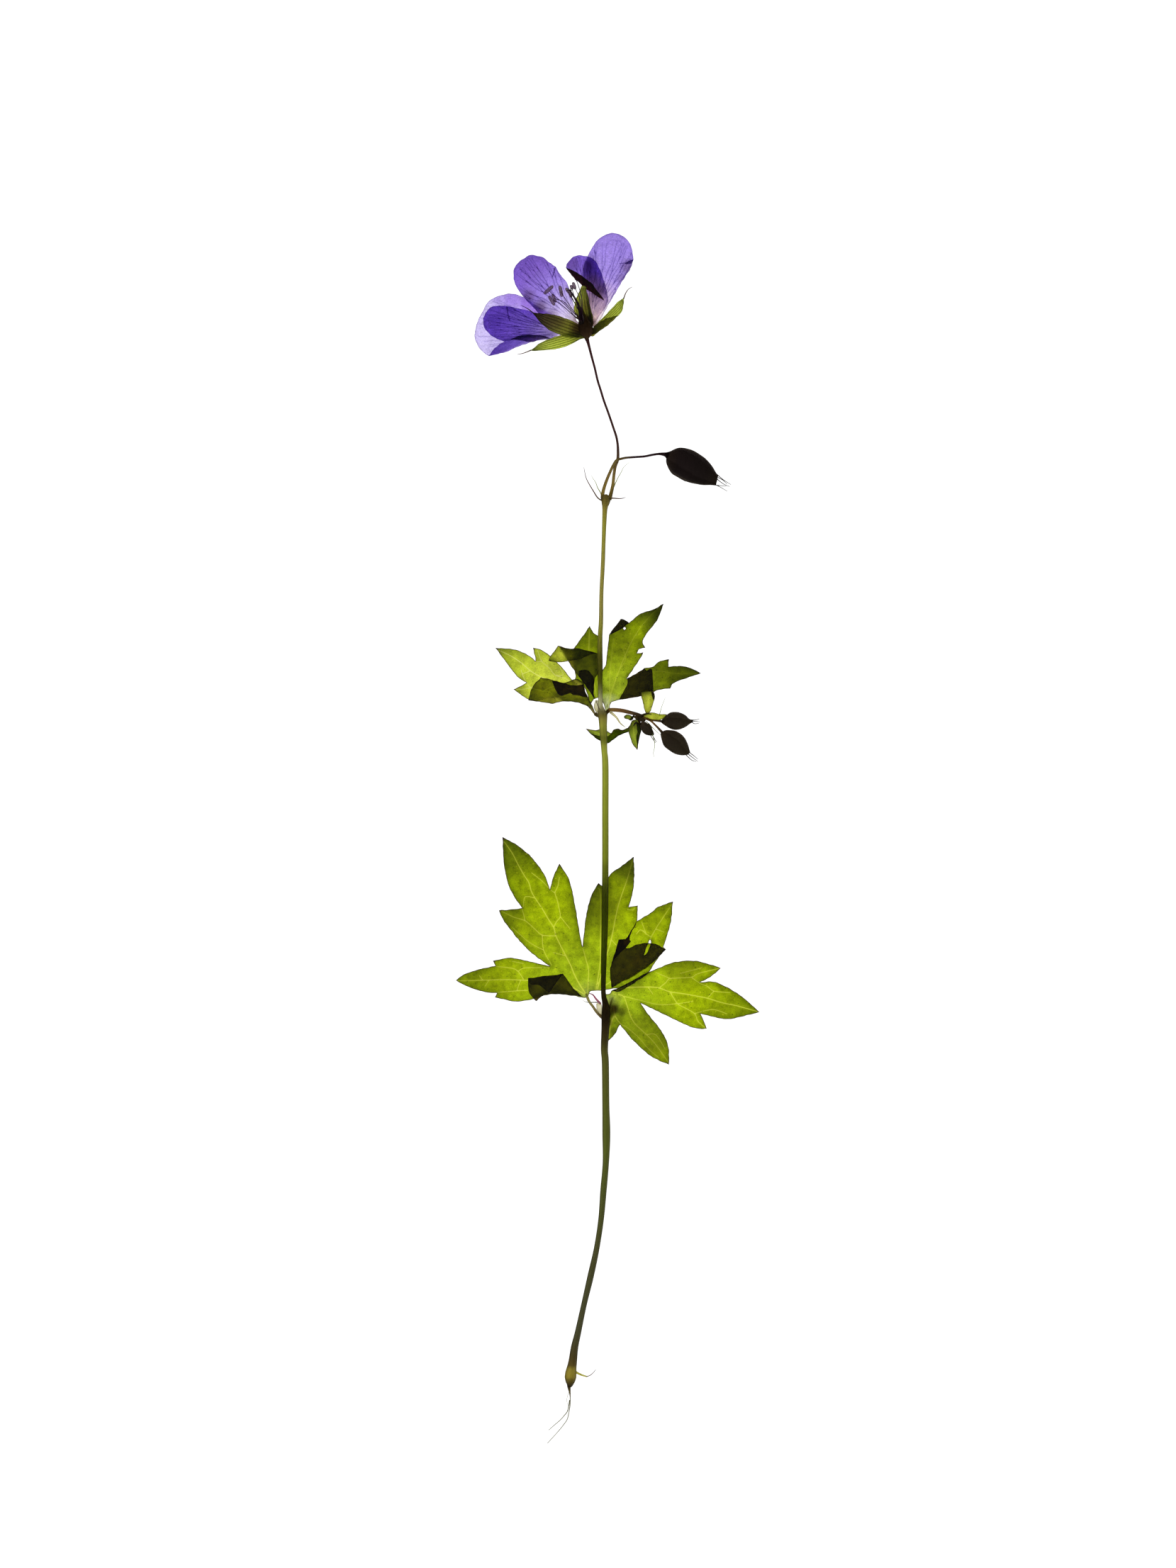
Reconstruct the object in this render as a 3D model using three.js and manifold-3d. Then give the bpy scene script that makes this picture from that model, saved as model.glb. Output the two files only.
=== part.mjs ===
// Hardy geranium: one cut flowering stem, pressed nearly flat and lying on a surface.
// Millimetres. +Z is up from the surface, +Y runs along the stem towards the flower.
// The origin is on the surface, midway along the stem and midway across the leaves.
import * as THREE from "three";
import { mergeVertices } from "three/addons/utils/BufferGeometryUtils.js";
import Module from "manifold-3d";

const wasm = await Module();
wasm.setup();

// ---- Driving dimensions ----

const bladeThickness = 0.6;
const clearance = 0.35;
const layer = bladeThickness + clearance; // one blade lying on another

const foldSink = 0.15; // a folded lobe sinks this far into its blade, to make one body

const leafCell = 3; // mesh size of a leaf blade
const leafLift = 2.4; // how far the leaf tips stand off the surface
const leafFlatReach = 8; // the blades lie flat this far out from the stem
const leafTipReach = 32;

const petalCell = 2.5;
const petalLift = 1.2;
const petalFlatReach = 13; // the petals lie flat this far from the receptacle
const petalRimReach = 26;

const lowerNode = new THREE.Vector2(-0.4, -37);
const upperNode = new THREE.Vector2(-1.3, 26.2);
const forkY = 72;
const receptacle = new THREE.Vector2(-4.8, 107);
const receptacleRadius = 0.95;

const thinStalkRadius = 0.3; // pedicel, awn, stipule and fibre
const filamentRadius = 0.3;
const antherRadius = 0.32;
const pressedBud = 0.62; // thickness of a pressed bud over its width

const colours = {
  stem: 0x6f7326,
  stalk: 0x4a2c2a,
  leaf: 0x7d8f12,
  youngLeaf: 0x66761a,
  bud: 0x1f1818,
  petal: 0x7458b8,
  palePetal: 0xb9a2e2,
  sepal: 0x98a838,
  stamen: 0x4a3348,
};

// ---- Making solids ----

function plainGeometry(geometry) {
  geometry.deleteAttribute("normal");
  geometry.deleteAttribute("uv");
  return mergeVertices(geometry, 1e-4);
}

function solidFrom(geometry) {
  const plain = plainGeometry(geometry);
  return new wasm.Manifold(
    new wasm.Mesh({
      numProp: 3,
      vertProperties: plain.getAttribute("position").array,
      triVerts: new Uint32Array(plain.index.array),
    }),
  );
}

function fuse(solids) {
  return solids.reduce((whole, next) => whole.add(next));
}

function addMesh(group, name, solid, colour, roughness = 0.6) {
  const { vertProperties, triVerts } = solid.getMesh();
  const geometry = new THREE.BufferGeometry();
  geometry.setAttribute("position", new THREE.BufferAttribute(vertProperties, 3));
  geometry.setIndex(new THREE.BufferAttribute(triVerts, 1));
  geometry.computeVertexNormals();
  const material = new THREE.MeshStandardMaterial({ color: colour, roughness, metalness: 0 });
  const mesh = new THREE.Mesh(geometry, material);
  mesh.name = name;
  group.add(mesh);
  return mesh;
}

function smoothStep(value, from, to) {
  return THREE.MathUtils.smoothstep(value, from, to);
}

// An outline is a list of edges. Each edge starts at a corner, bends through its other points
// and ends at the next edge's corner.
function outlinePoints(edges, origin, pointsPerSpan = 3) {
  return edges.flatMap((edge, index) => {
    const next = edges[(index + 1) % edges.length][0];
    const corners = [...edge, next].map(([x, y]) => new THREE.Vector2(x, y).add(origin));
    if (corners.length === 2) return [corners[0]];
    const count = (corners.length - 1) * pointsPerSpan;
    return new THREE.SplineCurve(corners).getPoints(count).slice(0, -1);
  });
}

function prism(points, bottom, top) {
  const shape = new THREE.Shape(points);
  const geometry = new THREE.ExtrudeGeometry(shape, { depth: top - bottom, bevelEnabled: false });
  return solidFrom(geometry.translate(0, 0, bottom));
}

// Gives a flat triangulated geometry a top and a bottom face, both following surface(x, y).
function thicken(flat, surface, thickness) {
  const at = flat.getAttribute("position");
  const count = at.count;
  const bottom = Array.from({ length: count }, (_, i) => [
    at.getX(i),
    at.getY(i),
    surface(at.getX(i), at.getY(i)),
  ]);
  const top = bottom.map(([x, y, z]) => [x, y, z + thickness]);
  const faces = [];
  const openEdges = new Map();
  for (let i = 0; i < flat.index.count; i += 3) {
    const corners = [0, 1, 2].map((k) => flat.index.getX(i + k));
    const [a, b, c] = corners;
    faces.push(a + count, b + count, c + count, c, b, a);
    corners.forEach((from, k) => {
      const to = corners[(k + 1) % 3];
      if (!openEdges.delete(`${to} ${from}`)) openEdges.set(`${from} ${to}`, [from, to]);
    });
  }
  for (const [from, to] of openEdges.values()) {
    faces.push(from, to, to + count, from, to + count, from + count);
  }
  const positions = new Float32Array([...bottom, ...top].flat());
  const geometry = new THREE.BufferGeometry();
  geometry.setAttribute("position", new THREE.BufferAttribute(positions, 3));
  geometry.setIndex(faces);
  return solidFrom(geometry);
}

// A thin waved blade inside an outline, its underside at surface(x, y).
function blade(points, surface, cell = leafCell, thickness = bladeThickness) {
  const bounds = new THREE.Box2().setFromPoints(points).expandByScalar(cell / 2);
  const size = bounds.getSize(new THREE.Vector2());
  const middle = bounds.getCenter(new THREE.Vector2());
  const flat = new THREE.PlaneGeometry(
    size.x,
    size.y,
    Math.ceil(size.x / cell),
    Math.ceil(size.y / cell),
  ).translate(middle.x, middle.y, 0);
  const room = 20; // taller than any blade rises
  const wave = thicken(plainGeometry(flat), surface, thickness);
  return wave.intersect(prism(points, -room, room));
}

// A round stalk. The route's points are [x, y, z, radius], z being its centre line.
function stalk(route, sides = 6, stepsPerSpan = 2) {
  const centreLine = new THREE.CatmullRomCurve3(route.map(([x, y, z]) => new THREE.Vector3(x, y, z)));
  const radii = new THREE.SplineCurve(route.map((point, i) => new THREE.Vector2(i, point[3])));
  const steps = (route.length - 1) * stepsPerSpan;
  const geometry = new THREE.CylinderGeometry(1, 1, 1, sides, steps);
  const at = geometry.getAttribute("position");
  const up = new THREE.Vector3(0, 0, 1);
  for (let i = 0; i < at.count; i++) {
    const t = THREE.MathUtils.clamp(at.getY(i) + 0.5, 0, 1);
    const tangent = centreLine.getTangent(t);
    const across = tangent.clone().cross(up).normalize();
    const radius = radii.getPoint(t).y;
    const point = centreLine
      .getPoint(t)
      .addScaledVector(across, at.getX(i) * radius)
      .addScaledVector(across.clone().cross(tangent), at.getZ(i) * radius);
    at.setXYZ(i, point.x, point.y, point.z);
  }
  return solidFrom(geometry);
}

function thinStalk(points, z, radius = thinStalkRadius) {
  const last = points.length - 1;
  const route = points.map(([x, y], i) => [x, y, z, radius * (i === last ? 0.8 : 1)]);
  return stalk(route, 5, 1);
}

function lump(x, y, z, radius, flatness = 1) {
  const ball = new THREE.SphereGeometry(radius, 10, 6);
  return solidFrom(ball.scale(1, 1, flatness).translate(x, y, z));
}

// ---- Surfaces that the blades follow ----

// Leaf blades lie flat along the stem and lift softly towards their tips.
function leafSurface(x) {
  return leafLift * smoothStep(Math.abs(x), leafFlatReach, leafTipReach) ** 1.5;
}

// Petals curl up a little at the rim. Height is added by a function of the place in the flower.
function petalSurface(height) {
  return (x, y) => {
    const px = x - receptacle.x;
    const py = y - receptacle.y;
    const rim = smoothStep(Math.hypot(px, py), petalFlatReach, petalRimReach);
    return height(px, py) + petalLift * rim;
  };
}

// ---- Stem ----

function makeStem() {
  const onSurface = 0.75;
  const overLeaves = 1.75; // the centre line where it rides over the leaf bases
  const route = [
    [-7.9, -115.5, 0.75, 0.6],
    [-7.9, -113.8, 1.1, 1.1],
    [-7.5, -110.5, onSurface, 0.75],
    [-6.3, -104.5, onSurface, 0.6],
    [-3.6, -92.5, onSurface, 0.55],
    [-1.4, -80.5, onSurface, 0.55],
    [-0.4, -68.5, onSurface, 0.65],
    [-0.4, -56, onSurface, 0.7],
    [-0.7, -47, 1.55, 0.7],
    [-0.5, -40, overLeaves, 0.7],
    [lowerNode.x, lowerNode.y, overLeaves, 0.8],
    [-0.7, -33, overLeaves, 0.55],
    [-0.6, -17.6, overLeaves, 0.6],
    [-0.5, -2, 1.5, 0.6],
    [-0.6, 15.4, overLeaves, 0.6],
    [-0.9, 22.5, overLeaves, 0.7],
    [upperNode.x, upperNode.y, 2, 1.05],
    [-1.6, 30.4, overLeaves, 0.45],
    [-1.6, 41, 1.6, 0.45],
    [-1.3, 52.2, 1, 0.4],
    [-1, 62, 0.8, 0.4],
    [-0.7, 69, 0.8, 0.45],
    [-0.4, forkY, 0.85, 0.8],
  ];
  return fuse([stalk(route, 8, 1), ...forkBracts(), ...upperStipules(), ...lowerStipules(), ...cutEnd()]);
}

// Narrow pointed bracts that stand round the fork below the flower.
function forkBracts() {
  const z = 0.75;
  return [
    [[-0.6, 71.7], [-3, 73.5], [-4.5, 76.2], [-5, 78.5]],
    [[-0.6, 71.9], [-2.1, 74.2], [-3.4, 76.8]],
    [[-0.2, 71.8], [2.5, 71.9], [3.8, 72.2]],
  ].map((points) => thinStalk(points, z));
}

function upperStipules() {
  const z = 1.9;
  return [
    [[-1.4, 26], [-2.4, 27.6], [-2.7, 29.2]],
    [[-1, 25.8], [1.6, 25.9], [2.9, 24.3], [3.7, 23.4]],
  ].map((points) => thinStalk(points, z));
}

function lowerStipules() {
  const z = 1.7;
  return [
    [[-0.5, -36.6], [-2.4, -34], [-3.9, -32.7]],
    [[-0.5, -36.2], [-2.6, -34.7], [-5.1, -34.3]],
  ].map((points) => thinStalk(points, z));
}

// Below the lowest node the stem is torn: a curled bract and two threads of rind are left.
function cutEnd() {
  const z = 0.5;
  return [
    [[-7.9, -114.5], [-7.9, -119.5], [-8.5, -122.8], [-10, -124.9], [-12.7, -127.9]],
    [[-8, -119], [-9, -121.8], [-10.4, -123.2], [-12.4, -125.1]],
    [[-7.6, -113.2], [-5.5, -113.4], [-4.2, -113.7], [-3, -112.8], [-2.5, -112.3]],
  ].map((points) => thinStalk(points, z));
}

// ---- Leaves: outlines in mm from each leaf's own base ----

const lowerLeft = {
  base: new THREE.Vector2(-4.3, -33.1),
  petiole: [[-1.5, -37.2, 1.2], [-2.5, -36.2, 0.9], [-3.8, -34.4, 0.5], [-4.3, -32.4, 0.35]],
  edges: [
    [[-1.1, -0.5], [-4.2, 0.1], [-7.9, 0.1], [-12.4, -1.1], [-15.4, -1.2]],
    [[-19.4, -0.4]],
    [[-19.1, 0.4], [-21.4, 0.8], [-25.2, 1.9]],
    [[-27.8, 3.2], [-25.5, 4.7], [-22.1, 5.7]],
    [[-19.3, 6.2]],
    [[-19.9, 7.3], [-16.5, 7.9], [-13.2, 7.4]],
    [[-7.9, 6.1], [-11.8, 9], [-15, 12.3], [-17.6, 15.8]],
    [[-18.7, 18], [-16.2, 18.1]],
    [[-13.8, 18.4], [-16.2, 22.5], [-17.6, 27.6]],
    [[-17.8, 33.6], [-13.3, 30.8], [-9.4, 26.4]],
    [[-7.8, 22.5], [-7.2, 24.9]],
    [[-5.8, 27.8], [-3.8, 24.4], [-2.5, 19.2], [-1.6, 13.8]],
    [[-1, 10.3], [-0.6, 13.2], [0.1, 18], [1.1, 21.3]],
    [[2.4, 23.7], [3.3, 23.2]],
    [[4, 23.7], [5, 25.6], [7.5, 27.4]],
    [[9.9, 29.4], [10, 25.8], [9.8, 22.1]],
    [[8.8, 18.8]],
    [[10.7, 19]],
    [[10.7, 15.7], [13.5, 17.6], [15.3, 18.8]],
    [[18.1, 19.9], [17.8, 16.1], [16.9, 12.6]],
    [[16.2, 10.2]],
    [[16.7, 9.7], [15, 7.8]],
    [[13, 5.3], [10.5, 3.8], [7.9, 2.3]],
    [[5, 1.6], [2.7, 0.6]],
  ],
  // Lobes that the pressing folded over onto the blade.
  folds: [
    [
      [[6.6, 11.7], [8.4, 11.8], [9.6, 11.1], [14.5, 10.8]],
      [[16.4, 9.7], [15, 7.9]],
      [[13.2, 6], [10.5, 4.6], [7.6, 3]],
      [[5.1, 1.8], [4.8, 4.8], [5.7, 8.1]],
    ],
    [
      [[-10.7, -1.4], [-12, 0.3]],
      [[-12.6, 3.5], [-9, 4.1]],
      [[-5.2, 4.6], [-3.8, 2.4]],
      [[-1.1, -0.5], [-5, 0.1], [-8.4, 0]],
    ],
  ],
};

const lowerRight = {
  base: new THREE.Vector2(0.8, -33.1),
  petiole: [],
  edges: [
    [[0.1, 0.6], [1.9, 1], [5.5, 3], [8.7, 4.6]],
    [[10.3, 5.9], [13.9, 7.1], [18.4, 7.3]],
    [[23.2, 5.8], [21.3, 4.1]],
    [[18.8, 2.8], [22.3, 2.8], [27, 0.3]],
    [[31.3, -3.4], [28.2, -4.2], [24.1, -5]],
    [[19, -3.9]],
    [[20.2, -7], [17.1, -6.8], [12.4, -4.6]],
    [[6.2, -1.6], [8.2, -4.5], [10.8, -7.6], [12.2, -10.9]],
    [[12.3, -14.6], [8.7, -13], [5, -9.9]],
    [[1.9, -6.1], [0.8, -8.2]],
    [[-0.8, -9.9], [-1.3, -5.4]],
  ],
  folds: [],
};

const upperLeft = {
  base: new THREE.Vector2(-2.4, 25.9),
  petiole: [[-3, 26.1, 1], [-3.6, 27.1, 0.6], [-4.4, 28.3, 0.35]],
  edges: [
    [[-0.8, 0.6], [-1.3, 1.5], [-3.6, 2.8]],
    [[-6.5, 3], [-9.3, 2.4], [-11.4, 2.9]],
    [[-14.4, 3.6], [-15.9, 4.5]],
    [[-17.5, 5.7], [-15.8, 6.5]],
    [[-14.8, 7], [-16.8, 8.4], [-18.8, 10.8]],
    [[-21.3, 14.3], [-17.4, 14], [-14.8, 13.2]],
    [[-12.8, 11.6]],
    [[-13.3, 14.4], [-11.4, 13.8], [-10, 12.9]],
    [[-8.1, 14.9], [-5, 14.4]],
    [[-3.4, 15.9], [-2.4, 17.6]],
    [[-1.4, 19.1], [-0.4, 17.6]],
    [[0.5, 16.9], [0.4, 9]],
    [[0.2, 4], [-0.3, 2.5]],
  ],
  hole: [
    [[-7.9, 11.1], [-6.1, 11.2], [-4.6, 9.5]],
    [[-4.6, 7.6], [-6.3, 9.2]],
  ],
  folds: [
    [
      [[-14.3, 3.7], [-13.8, 5.7], [-12.2, 7.8]],
      [[-9.6, 7.6], [-6.9, 6.9], [-3.9, 7.6]],
      [[-2.4, 7], [-0.8, 3.8]],
      [[-0.8, 0.8], [-1.6, 1.8], [-3.6, 2.9], [-6.1, 3.1], [-9.3, 2.5], [-11.8, 3.1]],
    ],
    [
      [[-10.1, 11.7], [-9.3, 13]],
      [[-8.1, 14.9], [-4.6, 14.3], [0.4, 13.2]],
      [[-0.4, 7.9], [-1.6, 7.7]],
      [[-2.9, 8], [-4.3, 9.6], [-6, 11.5], [-8.1, 11.2]],
    ],
  ],
};

const upperRight = {
  base: new THREE.Vector2(0.1, 27.8),
  petiole: [[0.3, 26.9, 1.3], [0.4, 27.6, 0.9], [0.6, 29, 0.35]],
  edges: [
    [[0, 0], [-0.1, 1.9], [-0.8, 5.7]],
    [[-1, 8], [-0.2, 11.5], [0.2, 15.3]],
    [[2.9, 18.8], [3.6, 18.3]],
    [[4.4, 18], [6.8, 19.7], [9.6, 20.8]],
    [[11.8, 22.1], [10.3, 18.4], [7.5, 14.5]],
    [[7.9, 12.7]],
    [[6.5, 12.4]],
    [[6.1, 11.5]],
    [[7.4, 11.7], [6.8, 10.2], [5.5, 8.3]],
    [[4, 6.1]],
    [[6.3, 7.2]],
    [[7.6, 8.3], [9.4, 8.7], [11.1, 9.8]],
    [[12.9, 10.2]],
    [[12.8, 8.6], [15.3, 8.8], [17.6, 8.2]],
    [[19.6, 7.2], [17.1, 6.4], [13.9, 5.2]],
    [[13, 4], [10.8, 3.8]],
    [[9.4, 3.1], [5.5, 2.2], [2.1, 1.5]],
  ],
  folds: [
    [
      [[2.9, 18.8], [1.4, 17]],
      [[0.6, 15.8], [2.4, 16.5]],
      [[4.4, 18]],
    ],
    [
      [[4, 6.1], [6.3, 7.2]],
      [[7.6, 8.3]],
      [[9.4, 8.2], [9.8, 5.4]],
      [[9.3, 3.3], [6.3, 2.7]],
      [[2.6, 2.2], [3.4, 4.3]],
    ],
  ],
};

// A fold lies straight on the blade it is part of, sunk into it a little to make one body.
function makeLeaf({ base, petiole, edges, folds, hole }) {
  let plate = blade(outlinePoints(edges, base), leafSurface);
  if (hole) plate = plate.subtract(prism(outlinePoints(hole, base), -layer, 3 * layer));
  const raised = (x) => leafSurface(x) + bladeThickness - foldSink;
  const flaps = folds.map((fold) => blade(outlinePoints(fold, base), raised));
  const stalks = petiole.length ? [stalk(petiole.map((point) => [...point, thinStalkRadius]))] : [];
  return fuse([plate, ...flaps, ...stalks]);
}

// ---- Side shoot in the upper node: three buds and its own small leaves ----

const sideRoot = new THREE.Vector2(0, 27);
const sideKnot = new THREE.Vector3(6.7, 25.6, 1.3);
const sideKnotRadius = 1.1;
const sideStalkRadius = 0.38;

function makeSideShoot() {
  const z = sideKnot.z;
  const shoot = [[0.25, 26.6, 1.8, 0.3], [1.9, 27.1, 1.7, 0.36], [4.4, 26.6, 1.5, 0.36], [6.7, 25.9, z, 0.4]];
  const pedicels = [
    [[7, 25.4, z, 0.38], [9.4, 24.9, z, 0.3], [11.1, 24.8, z, 0.3]],
    [[7, 25.2, z, 0.38], [9.8, 24, z, 0.3], [10.9, 22.8, z, 0.3]],
  ];
  const bract = [
    [[6.7, -0.6], [8.7, -0.3]],
    [[12.1, -0.9], [11.2, -1.4]],
    [[9.4, -1.6]],
  ];
  const hair = [[9.9, 23.2], [9.9, 21.2], [9.8, 19.8]];
  return fuse([
    stalk(shoot),
    ...pedicels.map((route) => stalk(route)),
    lump(sideKnot.x, sideKnot.y, z, sideKnotRadius, 0.7),
    blade(outlinePoints(bract, sideRoot), () => z - bladeThickness / 2),
    thinStalk([[9.6, 24.2], ...hair], z),
  ]);
}

const sideLeaves = {
  side_leaf_1: {
    level: 0,
    edges: [
      [[-4.7, -3.8], [-2.5, -4], [-1.1, -3.8]],
      [[0.8, -4.7]],
      [[1.3, -3.9], [2.9, -3.9]],
      [[4.8, -3], [4.3, -4.3]],
      [[1.9, -5.8], [0.1, -6.8], [-2.2, -6]],
    ],
  },
  side_leaf_2: {
    level: 1,
    edges: [
      [[5, -2.2], [4.4, -4.5]],
      [[6.3, -8.3], [6.8, -5.9], [6.9, -4]],
      [[6.7, -2.9]],
    ],
  },
  side_leaf_3: {
    level: 1,
    edges: [
      [[7, 3.2], [7.8, 0.1]],
      [[9, 0.1], [9.9, 2.9]],
      [[9.6, 3.9], [7.9, 3.3]],
    ],
  },
  side_leaf_4: {
    level: 1.4,
    edges: [
      [[3.5, -1.1], [3.9, -1.9]],
      [[4.8, -2]],
      [[5.2, -1.4], [4.5, -0.9]],
    ],
  },
};

// ---- Buds ----

// The profile is [distance along the bud, half width]. The awns are [end point, start point].
const buds = {
  top_bud: {
    base: [12.2, 81],
    tip: [23.3, 75.6],
    profile: [[0, 0.4], [0.8, 1.2], [2.2, 2.3], [4.2, 3], [6.2, 3], [8.4, 2.4], [10.6, 1.5], [12.2, 0.9]],
    awns: [
      [[21.9, 76.9], [23.6, 76.6], [26.1, 74.9]],
      [[22, 76.2], [23.5, 75.8], [25.8, 74.4]],
      [[21.7, 75.6], [23.5, 74.6], [25.3, 73.5]],
    ],
  },
  side_bud_1: {
    base: [11.6, 24.8],
    tip: [18.1, 24.9],
    profile: [[0, 0.3], [0.6, 1.1], [1.9, 1.8], [3.3, 1.8], [4.7, 1.3], [6.1, 0.5]],
    awns: [
      [[17.3, 25], [18.6, 25.1], [19.4, 25.3]],
      [[17.3, 24.8], [18.6, 24.7], [19.4, 24.5]],
    ],
  },
  side_bud_2: {
    base: [11.5, 22.3],
    tip: [17.3, 18.1],
    profile: [[0, 0.4], [0.7, 1.3], [2, 2], [3.6, 2.1], [5.2, 1.5], [6.8, 0.8]],
    awns: [
      [[16.5, 18.6], [18.1, 17.6], [19.1, 16.7]],
      [[16.3, 18.3], [17.6, 17], [18.6, 16.2]],
    ],
  },
  side_bud_3: {
    base: [7.6, 23.9],
    tip: [9.5, 22],
    profile: [[0, 0.5], [0.9, 0.8], [1.8, 0.8], [2.7, 0.4]],
    awns: [[[9.1, 22.4], [9.9, 21.5]]],
  },
};

function makeBud({ base, tip, profile, awns }) {
  const axis = new THREE.Vector2(tip[0] - base[0], tip[1] - base[1]);
  const widest = Math.max(...profile.map(([, halfWidth]) => halfWidth));
  const z = widest * pressedBud;
  const ends = [[0, profile[0][0]], ...profile.map(([along, half]) => [half, along]), [0, profile.at(-1)[0]]];
  const outline = ends.map(([half, along]) => new THREE.Vector2(half, along));
  const body = new THREE.LatheGeometry(outline, 12)
    .scale(1, 1, pressedBud)
    .rotateZ(axis.angle() - Math.PI / 2)
    .translate(base[0], base[1], z);
  return fuse([solidFrom(body), ...awns.map((points) => thinStalk(points, z))]);
}

// ---- Flower: outlines in mm from the receptacle ----

// The height of a petal's underside at a place in the flower.
const onFloor = () => 0;
const overOne = () => layer;
const slopingOver = (x, y) => THREE.MathUtils.lerp(2 * layer, 0.5 * layer, smoothStep(y, 7.8, 14));

const petals = {
  petal_1: {
    height: onFloor,
    colour: colours.palePetal,
    edges: [
      [[-0.8, 0.3], [-5, 0], [-7, -1.3], [-11.9, -1.8], [-15.8, -3.3]],
      [[-18.8, -4.6]],
      [[-20.4, -4.9], [-22.2, -3.4], [-23.2, -0.6], [-22.5, 2.7]],
      [[-21.6, 4.3], [-20.2, 6.7], [-16.9, 8.2], [-13.5, 7.8]],
      [[-9, 5.1], [-3.8, 2.2]],
    ],
  },
  petal_2: {
    height: overOne,
    colour: colours.petal,
    edges: [
      [[-0.8, 0.6], [-3.8, -0.6], [-9, -1.1], [-13.7, -1.5]],
      [[-16.9, -1.5], [-19.2, -0.8], [-21.3, 1.5]],
      [[-21.6, 3.8], [-19.5, 5.8], [-15, 5.2]],
      [[-11.1, 4.6], [-6, 2.7]],
    ],
  },
  petal_3: {
    height: slopingOver,
    colour: colours.petal,
    edges: [
      [[-0.4, 1.2], [-3.8, 1.5], [-7.5, 2.7], [-9.8, 4.2]],
      [[-13.1, 7.7], [-14.8, 10.5], [-14.8, 13.9], [-11.7, 16.3]],
      [[-8.7, 16]],
      [[-6.3, 14], [-3.6, 10.3], [-2.4, 6]],
      [[-1.8, 2.7]],
    ],
  },
  petal_4: {
    height: overOne,
    colour: colours.petal,
    edges: [
      [[1.1, 1.5], [0.6, 6.8], [-0.8, 10]],
      [[-3.1, 12.8]],
      [[-4, 13.8], [-2.5, 16.1], [0.1, 16.4], [2.7, 14.6], [4.6, 9.4], [3.4, 4.3]],
    ],
    // The upper margin is turned down over the blade in one narrow band.
    fold: [
      [[-4, 13.8], [-1.7, 12.2], [1.2, 10.6]],
      [[3.7, 7.9], [3.9, 7.1]],
      [[2.4, 7.9], [-0.3, 9.7]],
      [[-3.1, 12.6]],
    ],
  },
  petal_5: {
    height: onFloor,
    colour: colours.petal,
    edges: [
      [[1.3, 1.3], [0.8, 6], [-0.6, 10.9], [0.6, 16.2]],
      [[0.9, 16.8], [2.9, 19.8], [5.8, 21.1], [9.6, 19]],
      [[10.3, 15.5], [7.2, 9.4], [3.7, 4.3]],
    ],
  },
};

const receptacleRoom = receptacleRadius + clearance;
const flowerHeight = 4.3 * layer;

function makePetal({ height, edges, fold }) {
  const surface = petalSurface(height);
  const middle = new THREE.CylinderGeometry(receptacleRoom, receptacleRoom, 4 * flowerHeight, 16)
    .rotateX(Math.PI / 2)
    .translate(receptacle.x, receptacle.y, 0);
  const plate = blade(outlinePoints(edges, receptacle), surface, petalCell).subtract(solidFrom(middle));
  if (!fold) return plate;
  const raised = (x, y) => surface(x, y) + bladeThickness - foldSink;
  return plate.add(blade(outlinePoints(fold, receptacle), raised, petalCell));
}

// Five sepals with awned tips, joined in the receptacle. Those that lie over petals are higher.
const sepals = [
  {
    height: () => 3 * layer,
    edges: [
      [[-0.4, -1.1], [-4.2, -0.9], [-7.8, 0.8]],
      [[-10.5, 4], [-7, 3.7], [-2.9, 2.2]],
      [[-0.1, 1]],
    ],
    awn: [[-10, 3.7], [-11.4, 4.6], [-13.5, 5.9]],
  },
  {
    height: (x) => 2 * layer * smoothStep(x, -12, -9),
    edges: [
      [[-0.1, 0], [-6, -0.9], [-9.4, -2.4]],
      [[-11.7, -3.8], [-7.3, -3.8], [-3.4, -2.2]],
      [[-0.1, -0.9]],
    ],
    awn: [[-10.9, -3.5], [-12.7, -4.1], [-14.3, -4.6]],
  },
  {
    height: (x) => 2 * layer * (1 - smoothStep(x, 4.5, 8.5)),
    edges: [
      [[0.5, 0.9], [3.3, 2.9], [6.1, 5.7]],
      [[8.4, 7.8], [7.6, 4.3], [3.7, 1.5]],
      [[0.2, -0.9]],
    ],
    awn: [[8, 7], [8.7, 8.5], [9.2, 9.3], [10, 9.7]],
  },
  {
    height: () => 3 * layer,
    edges: [
      [[-0.1, 0.5], [0.8, 4.5], [0.3, 8.8]],
      [[-0.8, 10], [-1.9, 6.9], [-2.1, 3.4]],
      [[-0.8, 0.4]],
    ],
  },
  {
    height: () => 2.4 * layer,
    edges: [
      [[0.6, 0.3], [1.9, 4.5], [2, 7.5]],
      [[1.6, 9.4], [0.7, 8], [0.1, 4.5]],
      [[0, 0.6]],
    ],
  },
];

function makeCalyx() {
  const body = new THREE.SphereGeometry(receptacleRadius, 12, 8)
    .scale(1, 1, flowerHeight / 2 / receptacleRadius)
    .translate(receptacle.x, receptacle.y, flowerHeight / 2);
  const parts = sepals.flatMap(({ height, edges, awn }) => {
    const surface = (x, y) => height(x - receptacle.x, y - receptacle.y);
    const plate = blade(outlinePoints(edges, receptacle), surface, petalCell);
    if (!awn) return [plate];
    const [rootX, rootY] = awn[0];
    const z = height(rootX, rootY) + thinStalkRadius;
    return [plate, thinStalk(awn.map(([x, y]) => [x + receptacle.x, y + receptacle.y]), z)];
  });
  return fuse([solidFrom(body), ...parts]);
}

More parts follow.
